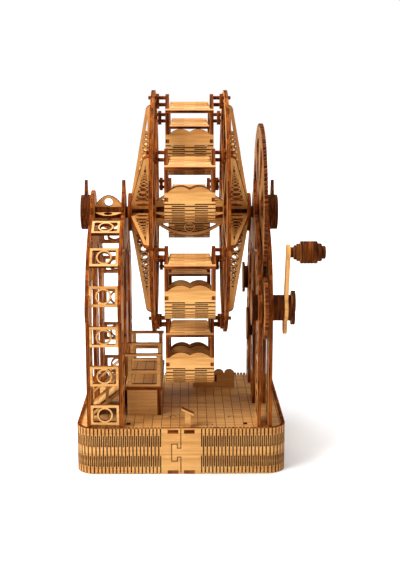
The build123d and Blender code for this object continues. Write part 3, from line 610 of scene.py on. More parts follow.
@dataclass(frozen=True)
class Birch(Finish):
    """Face of laser-cut birch ply: long streaks, short pores and a burnt line at each cut."""

    grain: Grain = Grain.PATTERN
    light: Triple = srgb(229, 178, 112)
    mid: Triple = srgb(210, 154, 86)
    dark: Triple = srgb(178, 118, 58)
    burn: Triple = srgb(72, 34, 14)
    burn_width: float = 0.55
    burn_from: float = 0.015
    burn_gain: float = 9.0
    burn_depth: float = 0.85
    stops: Triple = (0.3, 0.5, 0.68)
    streak_share: float = 0.55
    figure_share: float = 0.45
    pore_from: float = 0.68
    pore_depth: float = 0.16
    roughness: float = 0.52
    specular: float = 0.2
    bump: float = 0.12
    bump_height: float = 0.2
    face_from: float = 0.8

    def _where(self, n: Nodes) -> tuple[Socket, Socket | None]:
        """Grain coordinates, and whether a surface faces the sheet's own way.

        Args:
            n: nodes of the material.

        Returns:
            The coordinates, and nothing where the cut edges have a finish of their own.
        """
        if self.grain is Grain.PATTERN:
            return n.add("UVMap", uv_map="grain").outputs[0], None
        coord = n.add("TexCoord")
        parts = n.add("SeparateXYZ", i0=coord.outputs["Object"]).outputs
        normal = n.add("SeparateXYZ", i0=coord.outputs["Normal"]).outputs
        axis = "xyz".index(self.grain.value)
        along, across = ((2, 1), (0, 2), (0, 1))[axis]
        joined = n.add("CombineXYZ", i0=parts[along], i1=parts[across])
        facing_way = n.math("ABSOLUTE", normal[axis])
        return joined.outputs[0], n.math("GREATER_THAN", facing_way, self.face_from)

    def _marks(self, n: Nodes, colour: Socket) -> Socket:
        """Colour with anything that is burnt into the face; plain birch has nothing."""
        return colour

    def _burnt(self, n: Nodes, wood: Socket) -> Socket:
        """Wood with a burnt line at each cut, where a rounded normal leaves the true one.

        Args:
            n: nodes of the material.
            wood: colour of the bare wood.

        Returns:
            The colour with its burnt edges.
        """
        rounded_way = n.add("Bevel", samples=6, i0=self.burn_width * MM).outputs[0]
        true_way = n.add("NewGeometry").outputs["True Normal"]
        agree = n.add("VectorMath", operation="DOT_PRODUCT", i0=rounded_way, i1=true_way)
        lost = n.math("SUBTRACT", 1.0, agree.outputs["Value"])
        edge = n.math("MULTIPLY", n.math("SUBTRACT", lost, self.burn_from), self.burn_gain, clamp=True)
        return n.mix(n.math("MULTIPLY", edge, self.burn_depth), wood, self.burn)

    def _make(self) -> bpy.types.Material:
        """Builds the nodes: streaks and figure by stretched noise, pores, burn and a fine bump.

        Returns:
            The material.
        """
        n = Nodes(self.name)
        where, is_face = self._where(n)
        streak = n.noise(where, stretch=(14.0, 330.0), detail=4.0, rough=0.6)
        figure = n.noise(where, stretch=(5.0, 34.0), detail=2.0, rough=0.5, warp=0.6)
        pores = n.noise(where, stretch=(160.0, 2400.0), detail=1.0, rough=0.5)
        value = n.blend((streak, self.streak_share), (figure, self.figure_share))
        wood = n.ramp(value, list(zip(self.stops, (self.dark, self.mid, self.light))))
        pore = n.math("GREATER_THAN", pores, self.pore_from)
        wood = n.mix(n.math("MULTIPLY", pore, self.pore_depth), wood, self.burn)
        burnt = self._burnt(n, wood)
        if is_face is not None:
            burnt = n.mix(is_face, cut_colour(n, where), burnt)
        n.link(self._marks(n, burnt), "Base Color")
        n.gloss(self.roughness, self.specular)
        bump = n.add("Bump")
        bump.inputs["Strength"].default_value = self.bump
        bump.inputs["Distance"].default_value = self.bump_height * MM
        n.tree.links.new(streak, bump.inputs["Height"])
        n.link(bump.outputs[0], "Normal")
        return n.material


@dataclass(frozen=True)
class PlankFloor(Birch):
    """Floor face with plank lines burnt into it: long joints along Y and short cross joints."""

    plank: float = 7.66
    plank_length: float = 21.0
    origin: Pair = (11.0, 8.9)
    stagger: float = 0.37
    line: float = 0.55
    line_blur: float = 0.2
    line_depth: float = 0.9

    def _marks(self, n: Nodes, colour: Socket) -> Socket:
        """Adds the plank lines: rows of bricks turned a quarter, with burnt joints.

        Args:
            n: nodes of the material.
            colour: colour of the wood.

        Returns:
            The colour with its lines.
        """
        turned = n.add("Mapping", i0=n.add("TexCoord").outputs["Object"])
        turned.inputs["Rotation"].default_value = (0, 0, radians(90))
        turned.inputs["Location"].default_value = (self.origin[0] * MM, self.origin[1] * MM, 0)
        rows = {"offset": self.stagger, "offset_frequency": 2, "squash": 1.0}
        bricks = n.add("TexBrick", **rows, i0=turned.outputs[0])
        sizes = {"Scale": 1.0, "Mortar Size": self.line * MM / 2, "Mortar Smooth": self.line_blur}
        sizes |= {"Brick Width": self.plank_length * MM, "Row Height": self.plank * MM}
        for socket, size in sizes.items():
            bricks.inputs[socket].default_value = size
        return n.mix(n.math("MULTIPLY", bricks.outputs["Fac"], self.line_depth), colour, self.burn)


FACE = Birch("birch_face")
EDGE = CutEdge("birch_cut_edge")
DARK_EDGE = CutEdge("scorched_stack_edge", 0.45)
BIRCH_X = Birch("birch_across_x", Grain.ACROSS_X)
BIRCH_Y = Birch("birch_across_y", Grain.ACROSS_Y)
BIRCH_Z = Birch("birch_across_z", Grain.ACROSS_Z)


def dress(node: str, finish: Finish) -> None:
    """Gives a carried-over node a finish.

    Args:
        node: name of the node.
        finish: its finish.
    """
    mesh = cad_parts[node].data
    mesh.materials.clear()
    mesh.materials.append(finish.material())
    LOG.info("%s: keeps its shape, finished as %s", node, finish.name)


# ------------------------------------------------------------------ base box


@dataclass
class BaseBox:
    """Rounded box: two bent walls locked by T keys, a planked floor and a bottom board.

    A hook is given by its middle and the degrees that its lower end is turned by.
    """

    seam_plain: float = 17.0
    slit_pitch: float = 3.05
    slit_width: float = 0.82
    seam: float = 0.5
    edge_slit: float = 15.8
    mid_slit: float = 26.6
    rim: float = 0.02
    slot_xs: tuple[float, ...] = (-51.8, 46.3)
    slot_y: Pair = (-71.2, -65.8)
    slot_half: float = 1.65
    hooks: tuple[tuple[Pair, float], ...] = (((-7.0, -49.5), 10), ((42.7, -51.0), 10), ((23.9, -72.0), -12))
    hook_r: float = 2.5
    hook_w: float = 0.8
    tab_x: float = 6.75
    tab_w: float = 8.5
    side_tab_y: float = 10.0
    key_reach: float = 7.6
    key_head: float = 4.2
    key_head_h: float = 14.4
    key_neck_h: float = 7.2
    key_z: float = 18.6

    def _straights(self) -> tuple[float, float, float, float]:
        """Half lengths of the front's and side's straight parts, the bend's radius and length."""
        radius = CORNER_R - PLY / 2
        return BASE_W / 2 - CORNER_R, BASE_L / 2 - CORNER_R, radius, radius * pi / 2

    def _place(self, side: int) -> Place:
        """Wraps a pattern round half of the box.

        The way s runs along the front, a quarter circle, the side, a quarter circle and
        the back, on the sheet's middle; w is added along the outward normal.

        Args:
            side: 1 for the right half, -1 for the left one.

        Returns:
            The placing function.
        """
        cx, cy, r, bend = self._straights()
        marks = np.cumsum([cx, bend, 2 * cy, bend])

        def put(p: Points) -> Points:
            """Rows of the way s, the height and w, wrapped round the box.

            Args:
                p: rows of the pattern's own coordinates.

            Returns:
                Rows of x, y and z.
            """
            s, z, w = p.T
            t1 = np.clip((s - marks[0]) / r, 0, pi / 2)
            t2 = np.clip((s - marks[2]) / r, 0, pi / 2)
            turn = t1 + t2 - pi / 2
            nx, ny = np.cos(turn), np.sin(turn)
            x = np.where(s < marks[0], s, cx)
            x = np.where(s > marks[3], cx - (s - marks[3]), x)
            y = np.clip(s - marks[1], 0, 2 * cy) - cy
            return np.column_stack([side * (x + nx * (r + w)), y + ny * (r + w), z])

        return put

    def _slit_spots(self) -> tuple[Points, Points]:
        """Places along the wall of the slits open at its edges and of those between.

        Returns:
            The ways along the wall of both kinds.
        """
        cx, cy, _, bend = self._straights()
        marks = np.cumsum([cx, bend, 2 * cy, bend, cx])
        first = np.arange(self.seam_plain, marks[1] + cy - self.seam_plain, self.slit_pitch)
        open_ones = np.concatenate([first, marks[4] - first[::-1]])
        between = np.concatenate([first[:-1], (marks[4] - first[::-1])[:-1]]) + self.slit_pitch / 2
        return open_ones, between

    def wall(self, name: str, side: int) -> Piece:
        """Half of the bent wall, with its key or the notch that the other half's key fills.

        Args:
            name: name of the node that the piece stands for.
            side: 1 for the right half, -1 for the left one.

        Returns:
            The piece.
        """
        open_ones, between = self._slit_spots()
        cx, cy, _, bend = self._straights()
        end = 2 * (cx + cy + bend)
        h = self.slit_width / 2

        def notches(z0: float, z1: float) -> Points:
            """Slits open at the edge z0 and as deep as z1, in the outline's order.

            Args:
                z0: height of the edge.
                z1: height of the slits' ends.

            Returns:
                Corners of the outline along the edge.
            """
            spots = open_ones if z1 > z0 else open_ones[::-1]
            d = h if z1 > z0 else -h
            x = spots[:, None] + np.array([-d, -d, d, d])
            return np.column_stack([x.ravel(), np.tile([z0, z1, z1, z0], len(spots))])

        grow = 0.0 if side > 0 else self.seam
        neck, head = self.key_neck_h / 2 + grow, self.key_head_h / 2 + grow
        reach, waist = self.key_reach + grow, self.key_reach - self.key_head - grow
        key = np.array([(-grow, neck), (-waist, neck), (-waist, head), (-reach, head)])
        key = np.concatenate([key, key[::-1] * [1, -1]]) * [side, 1] + [0, self.key_z]
        far = key[::-1] * [-1, 1] + [end, 0]
        low = [[(grow, 0)], notches(0, self.edge_slit), [(end - grow, 0)]]
        high = [[(end - grow, BASE_H)], notches(BASE_H, BASE_H - self.edge_slit), [(grow, BASE_H)]]
        outline = np.concatenate([*low, far, *high, key])
        z0 = (BASE_H - self.mid_slit) / 2
        loops = [rect(s - h, z0, s + h, BASE_H - z0) for s in between]
        mid = end / 2
        for x in (self.tab_x, end - self.tab_x, mid - self.side_tab_y, mid + self.side_tab_y):
            for z in (PLY / 2, FLOOR_TOP - PLY / 2):
                under = max(z - PLY / 2 - FIT, self.rim)
                reach = self.tab_w / 2 + FIT
                loops.append(rect(x - reach, under, x + reach, z + PLY / 2 + FIT))
        piece = Piece(name + "_hinge", "base", (name,))
        return piece.sheet(Pattern(outline).cut(*loops), self._place(side))

    def floor(self) -> Piece:
        """Planked floor with the tabs that show through the wall, slots for feet and hooks.

        Returns:
            The piece.
        """
        w, l, r = BASE_W / 2 - PLY, BASE_L / 2 - PLY, CORNER_R - PLY
        corner = arc((w - r, l - r), r, 0, 90, 9)
        t0, t1 = self.side_tab_y - self.tab_w / 2, self.side_tab_y + self.tab_w / 2
        side = np.array([(w, t0), (w + PLY, t0), (w + PLY, t1), (w, t1)])
        s0, s1 = self.tab_x - self.tab_w / 2, self.tab_x + self.tab_w / 2
        back = np.array([(s1, l), (s1, l + PLY), (s0, l + PLY), (s0, l)])
        quarter = np.concatenate([side, corner, back])
        half = np.concatenate([quarter, quarter[::-1] * [-1, 1]])
        pattern = Pattern(np.concatenate([half, half[::-1] * [1, -1]]))
        h, g = PLY / 2 + FIT, FOOT_HALF + FIT
        for x in (-LEFT_X, -INNER_X, INNER_X, RIGHT_X):
            for y in FOOT_YS:
                pattern.cut(rect(WHEEL_X + x - h, y - g, WHEEL_X + x + h, y + g))
        for x in self.slot_xs:
            sides = (WHEEL_X + x - self.slot_half, WHEEL_X + x + self.slot_half)
            pattern.cut(rect(sides[0], self.slot_y[0], sides[1], self.slot_y[1]))
        for spot, lean in self.hooks:
            outer = arc(spot, self.hook_r + self.hook_w / 2, lean, lean + 185, 15)
            inner = arc(spot, self.hook_r - self.hook_w / 2, lean + 185, lean, 15)
            pattern.cut(np.concatenate([outer, inner]))
        place = flat((0, 0, FLOOR_TOP - PLY / 2), (1, 0, 0), (0, 1, 0))
        return Piece("base_floor_planks", "base", ("base_floor",)).sheet(pattern, place)

    def build(self) -> None:
        """Makes the box's pieces and finishes its bottom board."""
        self.wall("wall_right", 1).build()
        self.wall("wall_left", -1).build()
        planks = self.floor().build()
        planks.data.materials[0] = PlankFloor("plank_floor").material()
        dress("base_bottom", BIRCH_Z)


# ------------------------------------------------------------------ wheel


@dataclass
class Wheel:
    """The turning wheel: rims, pierced gussets, hub braces, axle and drive gear.

    A gusset's large eye is given by its radius from the axle, its half length, stroke and
    squash, and the eye in its foot by its radius, reach, half length and squash. The
    pointed window over the chain is given by the gap under it and by how far its left,
    right and top corners stand in from the windows' edges.
    """

    rim_x: float = 30.5
    rim_out: float = 104.6
    rim_in: float = 93.0
    hub_r: float = 20.0
    spoke_w: float = 7.0
    spoke_sunk: float = 2.0
    pin_r: float = 1.5
    fin_foot_r: float = 8.0
    fin_heel: float = 10.0
    fin_reach: float = 18.0
    fin_tip_r: float = 94.0
    fin_tip_reach: float = 5.0
    fin_toe: float = 4.0
    fin_margin: float = 3.0
    window_low: float = 22.5
    window_over: float = 1.2
    window_ease: float = 1.6
    drop_high: float = 13.0
    drop_in: tuple[float, ...] = (1.4, 0.3, 0.2, 0.4)
    drop_ease: float = 0.7
    eye: tuple[float, ...] = (26.6, 5.3, 0.9, 0.62)
    foot_eye: tuple[float, ...] = (15.6, 8.2, 5.4, 0.42)
    ring_first: float = 34.5
    ring_last: float = 68.5
    ring_small: float = 2.4
    ring_strokes: Pair = (1.15, 0.85)
    ring_sunk: float = 0.12
    axle_r: float = 5.0
    disc_r: float = 16.5
    brace_r: float = 21.0
    end_left: float = -93.6
    end_right: float = 76.1
    tower_x: float = -70.25
    tower_gap: float = 22.6
    tower_brace_r: float = 15.0
    tower_brace_t: float = 2.6
    brace_tip: float = 24.6
    brace_rail: float = 2.8
    brace_floor: float = 8.6
    brace_hoop: Triple = (13.4, 4.9, 1.2)
    tower_brace_low: float = 3.0
    tower_brace_hole: Pair = (9.2, 3.7)
    edge_ease: float = 0.4

    def _outer(self, r: float) -> float:
        """Reach of a gusset's slanted edge at a radius from the axle.

        Args:
            r: the radius.

        Returns:
            The way from the rim's face.
        """
        start = self.fin_foot_r + self.fin_heel
        share = (r - start) / (self.fin_tip_r - self.fin_toe - start)
        return self.fin_reach + share * (self.fin_tip_reach - self.fin_reach)

    def rim(self, name: str, side: int) -> Piece:
        """Rim with a spoke to each pivot, its hub plate and the round holes of the pins.

        Args:
            name: name of the node that the piece stands for.
            side: 1 for the right side, -1 for the left one.

        Returns:
            The piece.
        """
        pattern = Pattern(ring((0, 0), self.rim_out, 144)).cut(ring((0, 0), self.rim_in, 144))
        pattern.add(ring((0, 0), self.hub_r, 48))
        for angle in PIVOT_ANGLES:
            foot, tip = self.hub_r - self.spoke_sunk, self.rim_in + self.spoke_sunk
            pattern.add(strip(polar(foot, angle), polar(tip, angle), self.spoke_w))
        pattern.cut(ring((0, 0), self.axle_r, 32))
        pattern.cut(*[ring(polar(PIVOT_R, angle), self.pin_r + RUN, 16) for angle in PIVOT_ANGLES])
        return Piece(name + "_plate", "wheel", (name,)).sheet(pattern, board(side * self.rim_x))

    def fin_pattern(self) -> Pattern:
        """Gusset with a long window that a chain of hoops fills, smaller towards the tip.

        Each hoop's radius is half the window's width at its middle, and the next middle
        lies where the two hoops touch.

        Returns:
            The pattern: x away from the wheel, y away from the axle.
        """
        f = self.rim_x + PLY / 2
        tip = arc((f, self.fin_tip_r - self.fin_tip_reach), self.fin_tip_reach, 0, 90, 8)
        reach, foot, heel = f + self.fin_reach, self.fin_foot_r, self.fin_foot_r + self.fin_heel
        outline = np.concatenate([[(f, foot), (reach, foot), (reach, heel)], tip])
        inner = f + self.fin_margin
        low, high = self.window_low, self.ring_last + self.window_over

        def edge(r: float) -> float:
            """Outer edge of the windows at a radius from the axle."""
            return f + self._outer(r) - self.fin_margin

        window = np.array([(inner, low), (edge(low), low), (edge(high), high), (inner, high)])
        gap, left, right, top = self.drop_in
        start = high + gap
        drop = [(inner + left, start), (edge(start) - right, start), (inner + top, high + self.drop_high)]
        windows = (rounded(window, self.window_ease), rounded(np.array(drop), self.drop_ease))
        pattern = Pattern(outline).cut(*windows)
        r, half, stroke, squash = self.eye
        pattern.hoop(((inner + edge(r)) / 2, r), half, stroke, squash)
        rise = self.fin_tip_r - self.fin_toe - self.fin_foot_r - self.fin_heel
        slope = (self.fin_reach - self.fin_tip_reach) / rise / 2
        broad, fine = self.ring_strokes
        r = self.ring_first
        while r < self.ring_last:
            size = (edge(r) - inner) / 2
            stroke = broad if size > self.ring_small else fine
            pattern.hoop(((inner + edge(r)) / 2, r), size + self.ring_sunk, stroke)
            r += 2 * size / (1 + slope)
        r, reach, half, squash = self.foot_eye
        return pattern.cut(ring((f + reach, r), half, 28, squash))

    def fins(self, name: str, side: int) -> Piece:
        """The eight gussets of one side, each in the plane of its spoke and the axle.

        Args:
            name: name of the node that the piece stands for.
            side: 1 for the right side, -1 for the left one.

        Returns:
            The piece.
        """
        piece = Piece(name + "_filigree", "wheel", (name,))
        pattern = self.fin_pattern()
        for angle in PIVOT_ANGLES:
            piece.sheet(pattern, radial(angle, side=side), turned=True)
        return piece

    def braces(self) -> Piece:
        """Four curved braces between the rims, each a lens with a pointed window and a hoop.

        The outer edge is an arc through both rims; the window's outer edge stays a rail's
        width inside it, and its inner edge is a parabola that meets it at the tips.

        Returns:
            The piece.
        """
        piece = Piece("hub_braces_pierced", "wheel", ("hub_braces",))
        reach, foot, tip = self.rim_x - PLY / 2, self.axle_r, self.brace_tip
        rise = self.brace_r - foot - 5
        radius = (reach**2 + rise**2) / (2 * rise)

        def bow(x: Points) -> Points:
            """Outer edge's radius from the axle at an x along it."""
            return self.brace_r - radius + np.sqrt(radius**2 - x**2)

        x = np.linspace(reach, -reach, 33)
        outline = np.concatenate([[(-reach, foot), (reach, foot)], np.column_stack([x, bow(x)])])
        t = np.linspace(-tip, tip, 25)
        outer = bow(t) - self.brace_rail
        inner = self.brace_floor + (outer[0] - self.brace_floor) * (t / tip) ** 2
        window = np.concatenate([np.column_stack([t, inner]), np.column_stack([t, outer])[-2:0:-1]])
        middle, half, stroke = self.brace_hoop
        pattern = Pattern(outline).cut(window).hoop((0, middle), half, stroke)
        for angle in BRACE_ANGLES:
            piece.sheet(pattern, radial(angle))
        return piece

    def hub(self) -> Piece:
        """Round discs that hold the gussets' feet, one on each side.

        Returns:
            The piece.
        """
        piece = Piece("hub_discs_round", "wheel", ("hub_discs",))
        x = self.rim_x + PLY / 2 + self.fin_reach + PLY / 2
        pattern = Pattern(ring((0, 0), self.disc_r, 56)).cut(ring((0, 0), self.axle_r, 32))
        for side in (-1, 1):
            piece.sheet(pattern, board(side * x))
        return piece

    def shaft(self) -> Piece:
        """Round axle, with four bowed braces on it between the left tower's frames.

        A brace's outer edge is a parabola: its rise times (1 - (x / half)^2), x along the axle.

        Returns:
            The piece.
        """
        r, long, ease = self.axle_r, self.end_right - self.end_left, self.edge_ease
        ends = [(long - ease, r), (long, r - ease), (long, 0)]
        profile = np.array([(0, 0), (0, r - ease), (ease, r), *ends])
        piece = Piece("axle_dowel", "wheel", ("axle",), edge=DARK_EDGE)
        piece.turned(profile, (WHEEL_X + self.end_left, 0, AXLE_Z), 48)
        half, low, rise = self.tower_gap / 2, self.axle_r - 1, self.tower_brace_r - self.axle_r - 2
        x = np.linspace(half, -half, 25)
        top = low + self.tower_brace_low + rise * (1 - (x / half) ** 2)
        pattern = Pattern(np.concatenate([[(-half, low), (half, low)], np.column_stack([x, top])]))
        middle, hole = self.tower_brace_hole
        pattern.cut(ring((0, middle), hole, 28))
        for angle in BRACE_ANGLES:
            piece.sheet(pattern, radial(angle, self.tower_x), self.tower_brace_t)
        return piece

    def build(self) -> None:
        """Makes the wheel's pieces and finishes the drive gear, which keeps its shape."""
        for name, side in (("left", -1), ("right", 1)):
            self.rim("rim_" + name, side).build()
            self.fins("fins_" + name, side).build()
        for piece in (self.braces(), self.hub(), self.shaft()):
            piece.build()
        dress("drive_gear", BIRCH_X)


# ------------------------------------------------------------------ gondolas


@dataclass
class Gondola:
    """Hanging gondola: two side boards, a roof and a tub bent along fine slits.

    The shoulder, the arches, the tabs and the bend are given as depths under the pins.
    """

    number: int
    half_w: float = 20.0
    half_l: float = 17.0
    shoulder: float = 29.8
    arch_foot: float = 29.4
    arch_top: float = 25.3
    arch_dip: float = 27.6
    back_drop: float = 1.9
    tab_z: Pair = (33.8, 36.8)
    tub_bend: float = 38.0
    pin_r: float = 1.5
    pin_out: float = 34.5
    pin_ease: float = 0.4
    link_x: float = 26.8
    link_drop: float = 5.7
    link_r: float = 3.4
    peg_over: float = 1.9
    roof_rise: float = 3.2
    roof_r: float = 30.0
    roof_half: float = 19.0
    roof_pitch: float = 2.1
    roof_slit: float = 0.22
    roof_slit_xs: Triple = (4.5, 12.5, 15.6)
    roof_plain: Pair = (2.6, 2.0)
    gable_z: float = -8.2
    ear_r: float = 3.1
    window: tuple[float, float, float, float] = (-10.0, -26.2, 10.0, -16.8)
    slit_pitch: float = 1.5
    slit_width: float = 0.72
    slit_half: float = 14.0
    slit_foot: float = 4.0
    slit_plain: Pair = (0.9, 0.5)
    window_r: float = 2.6
    side_gap: float = 0.02
    pin_sunk: float = 0.2

    @property
    def body(self) -> str:
        """Name of the gondola's body, with which its pieces' names start."""
        return f"gondola_{self.number}"

    @property
    def pivot(self) -> Pair:
        """Y and Z of the pins that the gondola hangs on."""
        return polar(PIVOT_R, PIVOT_ANGLES[self.number - 1], (0.0, AXLE_Z))

    def _tub_place(self) -> Place:
        """Wraps the tub's pattern: down the front, round a half circle, up the back.

        Returns:
            The placing function.
        """
        y0, z0 = self.pivot
        r = self.half_l - PLY / 2
        bend = pi * r
        drop = self.tub_bend

        def put(p: Points) -> Points:
            """Rows of x, the way s and w, wrapped down, round and up.

            Args:
                p: rows of the pattern's own coordinates.

            Returns:
                Rows of x, y and z.
            """
            x, s, w = p.T
            turn = np.clip(s / r, 0, pi)
            y = -np.cos(turn) * (r + w)
            z = -drop - np.sin(turn) * (r + w)
            z = z + np.where(s < 0, -s, 0) + np.where(s > bend, s - bend, 0)
            return np.column_stack([WHEEL_X + x, y0 + y, z0 + z])

        return put

    def _arches(self) -> Points:
        """Double arch of a tub's end, from left to right: two parabolas that meet at the dip.

        Returns:
            Corners, as rows of x and the way along the strip.
        """
        w = self.half_w - PLY
        u = np.linspace(0, 1, 11)
        foot, top, dip = (self.tub_bend - h for h in (self.arch_foot, self.arch_top, self.arch_dip))
        high = foot + (dip - foot) * u + (top - (foot + dip) / 2) * 4 * u * (1 - u)
        left = np.column_stack([-w + w * u, -high])
        return np.concatenate([left, left[-2::-1] * [-1, 1]])

    def tub(self) -> Piece:
        """Tub: a double arch at each end of the strip, corner slots, and rows of slits.

        Returns:
            The piece.
        """
        bend = pi * (self.half_l - PLY / 2)
        rise = self.tub_bend - self.shoulder
        w = self.half_w
        first, last = self.slit_plain
        spots = np.arange(first, bend - last, self.slit_pitch)
        open_ones, between = spots[::2], spots[1::2]
        h = self.slit_width / 2
        tab_low, tab_high = (self.tub_bend - z for z in self.tab_z)
        inner = w - PLY - FIT

        s = open_ones[:, None] + np.array([-h, -h, h, h])
        slits = np.column_stack([np.tile([w, self.slit_foot, self.slit_foot, w], len(s)), s.ravel()])
        slot_ = np.array([(w, -tab_low), (inner, -tab_low), (inner, -tab_high), (w, -tab_high)])
        end_slot = slot_[::-1] * [1, -1] + [0, bend]
        right = np.concatenate([[(w, -rise)], slot_, slits, end_slot, [(w, bend + rise)]])
        left = right[::-1] * [-1, 1]
        arches = self._arches()
        back = arches[::-1] * [1, -1] + [0, bend - self.back_drop]
        pattern = Pattern(np.concatenate([arches, right, back, left]))
        pattern.cut(*[rect(-self.slit_half, s - h, self.slit_half, s + h) for s in between])
        piece = Piece(self.body + "_tub_slats", self.body, (self.body + "_tub",))
        return piece.sheet(pattern, self._tub_place())

    def roof(self) -> Piece:
        """Roof: a gently bent strip with rows of fine slits, lying between the side boards.

        The strip is bent round a circle of the roof's radius, whose top lies at the roof's rise.

        Returns:
            The piece.
        """
        y0, z0 = self.pivot
        r = self.roof_r - PLY / 2
        half = r * asin(self.roof_half / self.roof_r)
        w, ear = self.half_w, r * asin((self.half_l + FIT) / self.roof_r)
        notch = w - PLY - FIT
        right = [(w, -half), (w, -ear), (notch, -ear), (notch, ear), (w, ear), (w, half)]
        outline = np.array(right + [(-x, s) for x, s in reversed(right)])
        first, last = self.roof_plain
        spots = np.arange(-half + first, half - last, self.roof_pitch)
        h = self.roof_slit / 2
        near, mid, far = self.roof_slit_xs
        pattern = Pattern(outline)
        for k, s in enumerate(spots):
            if k % 2:
                pattern.cut(rect(-mid, s - h, mid, s + h))
            else:
                pattern.cut(rect(near, s - h, far, s + h), rect(-far, s - h, -near, s + h))

        def put(p: Points) -> Points:
            """Rows of x, the way s and the distance d out of the sheet, bent round the circle.

            Args:
                p: rows of the pattern's own coordinates.

            Returns:
                Rows of x, y and z.
            """
            x, s, d = p.T
            t = s / r
            y = np.sin(t) * (r + d)
            z = -self.roof_rise - self.roof_r + np.cos(t) * (r + d)
            return np.column_stack([WHEEL_X + x, y0 + y, z0 + z])

        piece = Piece(self.body + "_roof_strip", self.body, (self.body + "_roof",))
        return piece.sheet(pattern, put)

    def sides(self) -> Piece:
        """Gabled side boards with locking tabs, a round belly and a window, links and pins.

        Returns:
            The piece.
        """
        y0, z0 = self.pivot
        inner, outer = self.half_l - PLY - self.side_gap, self.half_l
        belly = arc((0.0, -self.tub_bend), inner, 180, 360, 25)
        low, high = -self.tab_z[1], -self.tab_z[0]
        edge = [(inner, low), (outer, low), (outer, high), (inner, high), (inner, -self.shoulder)]
        edge += [(outer, -self.shoulder), (outer, self.gable_z)]
        right = np.concatenate([edge, arc((0, 0), self.ear_r, 36, 90, 7)[:-1]])
        outline = np.concatenate([belly, right, right[::-1] * [-1, 1]])
        pattern = Pattern(outline).cut(rounded(rect(*self.window), self.window_r))
        ends = (arc((0, 0), self.link_r, 0, 180, 14), arc((0, -self.link_drop), self.link_r, 180, 360, 14))
        link = Pattern(np.concatenate(ends))
        piece = Piece(self.body + "_side_boards", self.body, (self.body + "_sides",))
        start, end, far = self.half_w - self.pin_sunk, self.pin_out, self.link_x + self.peg_over
        r, ease = self.pin_r, self.pin_ease
        pin = np.array([(start, 0.0), (start, r), (end - ease, r), (end, r - ease), (end, 0.0)])
        peg = np.array([(start, 0.0), (start, r), (far, r), (far, 0.0)])
        for side in (-1, 1):
            piece.sheet(pattern, board(side * (self.half_w - PLY / 2), y0, z0), turned=True)
            piece.sheet(link, board(side * self.link_x, y0, z0))
            for profile, drop in ((pin, 0.0), (peg, self.link_drop)):
                row = profile if side > 0 else profile[::-1] * [-1, 1]
                piece.turned(row, (WHEEL_X, y0, z0 - drop), 20)
        return piece

    def build(self) -> None:
        """Makes the gondola's three pieces."""
        for piece in (self.tub(), self.roof(), self.sides()):
            piece.build()


# ------------------------------------------------------------------ towers

MODULE = 1.175  # pitch diameter of a gear over its teeth
TEETH = (128, 42)  # teeth of the drive gear and of the pinion
WINDOW_EASE = 0.5  # rounding of a lattice window's corners
STRUT_SUNK = 0.8  # way that a strut's end is sunk into its frame
SPIRE_TIP = 0.35  # half width of a point at its tip
SPIRE_POWER = 1.5
BOSSES = [polar(MODULE * sum(TEETH) / 2, angle) for angle in (225, 270, 315)]


def lattice(pattern: Pattern, lay: Place, cells: tuple[int, int], stroke: float) -> None:
    """Cuts a window and crosses it with two sets of slanting struts, sunk into its frame.

    Args:
        pattern: the board's pattern.
        lay: puts points of the unit square into the window.
        cells: how many strut crossings lie along the square's two sides.
        stroke: width of a strut.
    """
    side = np.column_stack([np.linspace(0, 1, 9)[:-1], np.zeros(8)])
    turns = [side, side[:, ::-1] + [1, 0], 1 - side, 1 - (side[:, ::-1] + [1, 0])]
    pattern.cut(rounded(lay(np.concatenate(turns)), WINDOW_EASE, 2))
    nu, nv = cells
    for k in range(1, nu + nv):
        low = np.array([max(k - nv, 0) / nu, min(k, nv) / nv])
        high = np.array([min(k, nu) / nu, max(k - nu, 0) / nv])
        for flip in (False, True):
            ends = np.array([low, high])
            if flip:
                ends[:, 0] = 1 - ends[:, 0]
            a, b = lay(ends)
            sunk = (b - a) / np.linalg.norm(b - a) * STRUT_SUNK
            pattern.add(strip(tuple(a - sunk), tuple(b + sunk), stroke))


def spire(pattern: Pattern, half: float, foot: float, top: float) -> Pattern:
    """Adds a point with hollow sides: half its width shrinks as a power of what is left.

    Args:
        pattern: the board's pattern.
        half: half the point's width at its foot.
        foot: height of its foot.
        top: height of its tip.

    Returns:
        The pattern itself.
    """
    t = np.linspace(0, 1, 9)
    right = np.column_stack([half * (1 - t) ** SPIRE_POWER + SPIRE_TIP, foot + (top - foot) * t])
    return pattern.add(np.concatenate([right, right[::-1] * [-1, 1]]))


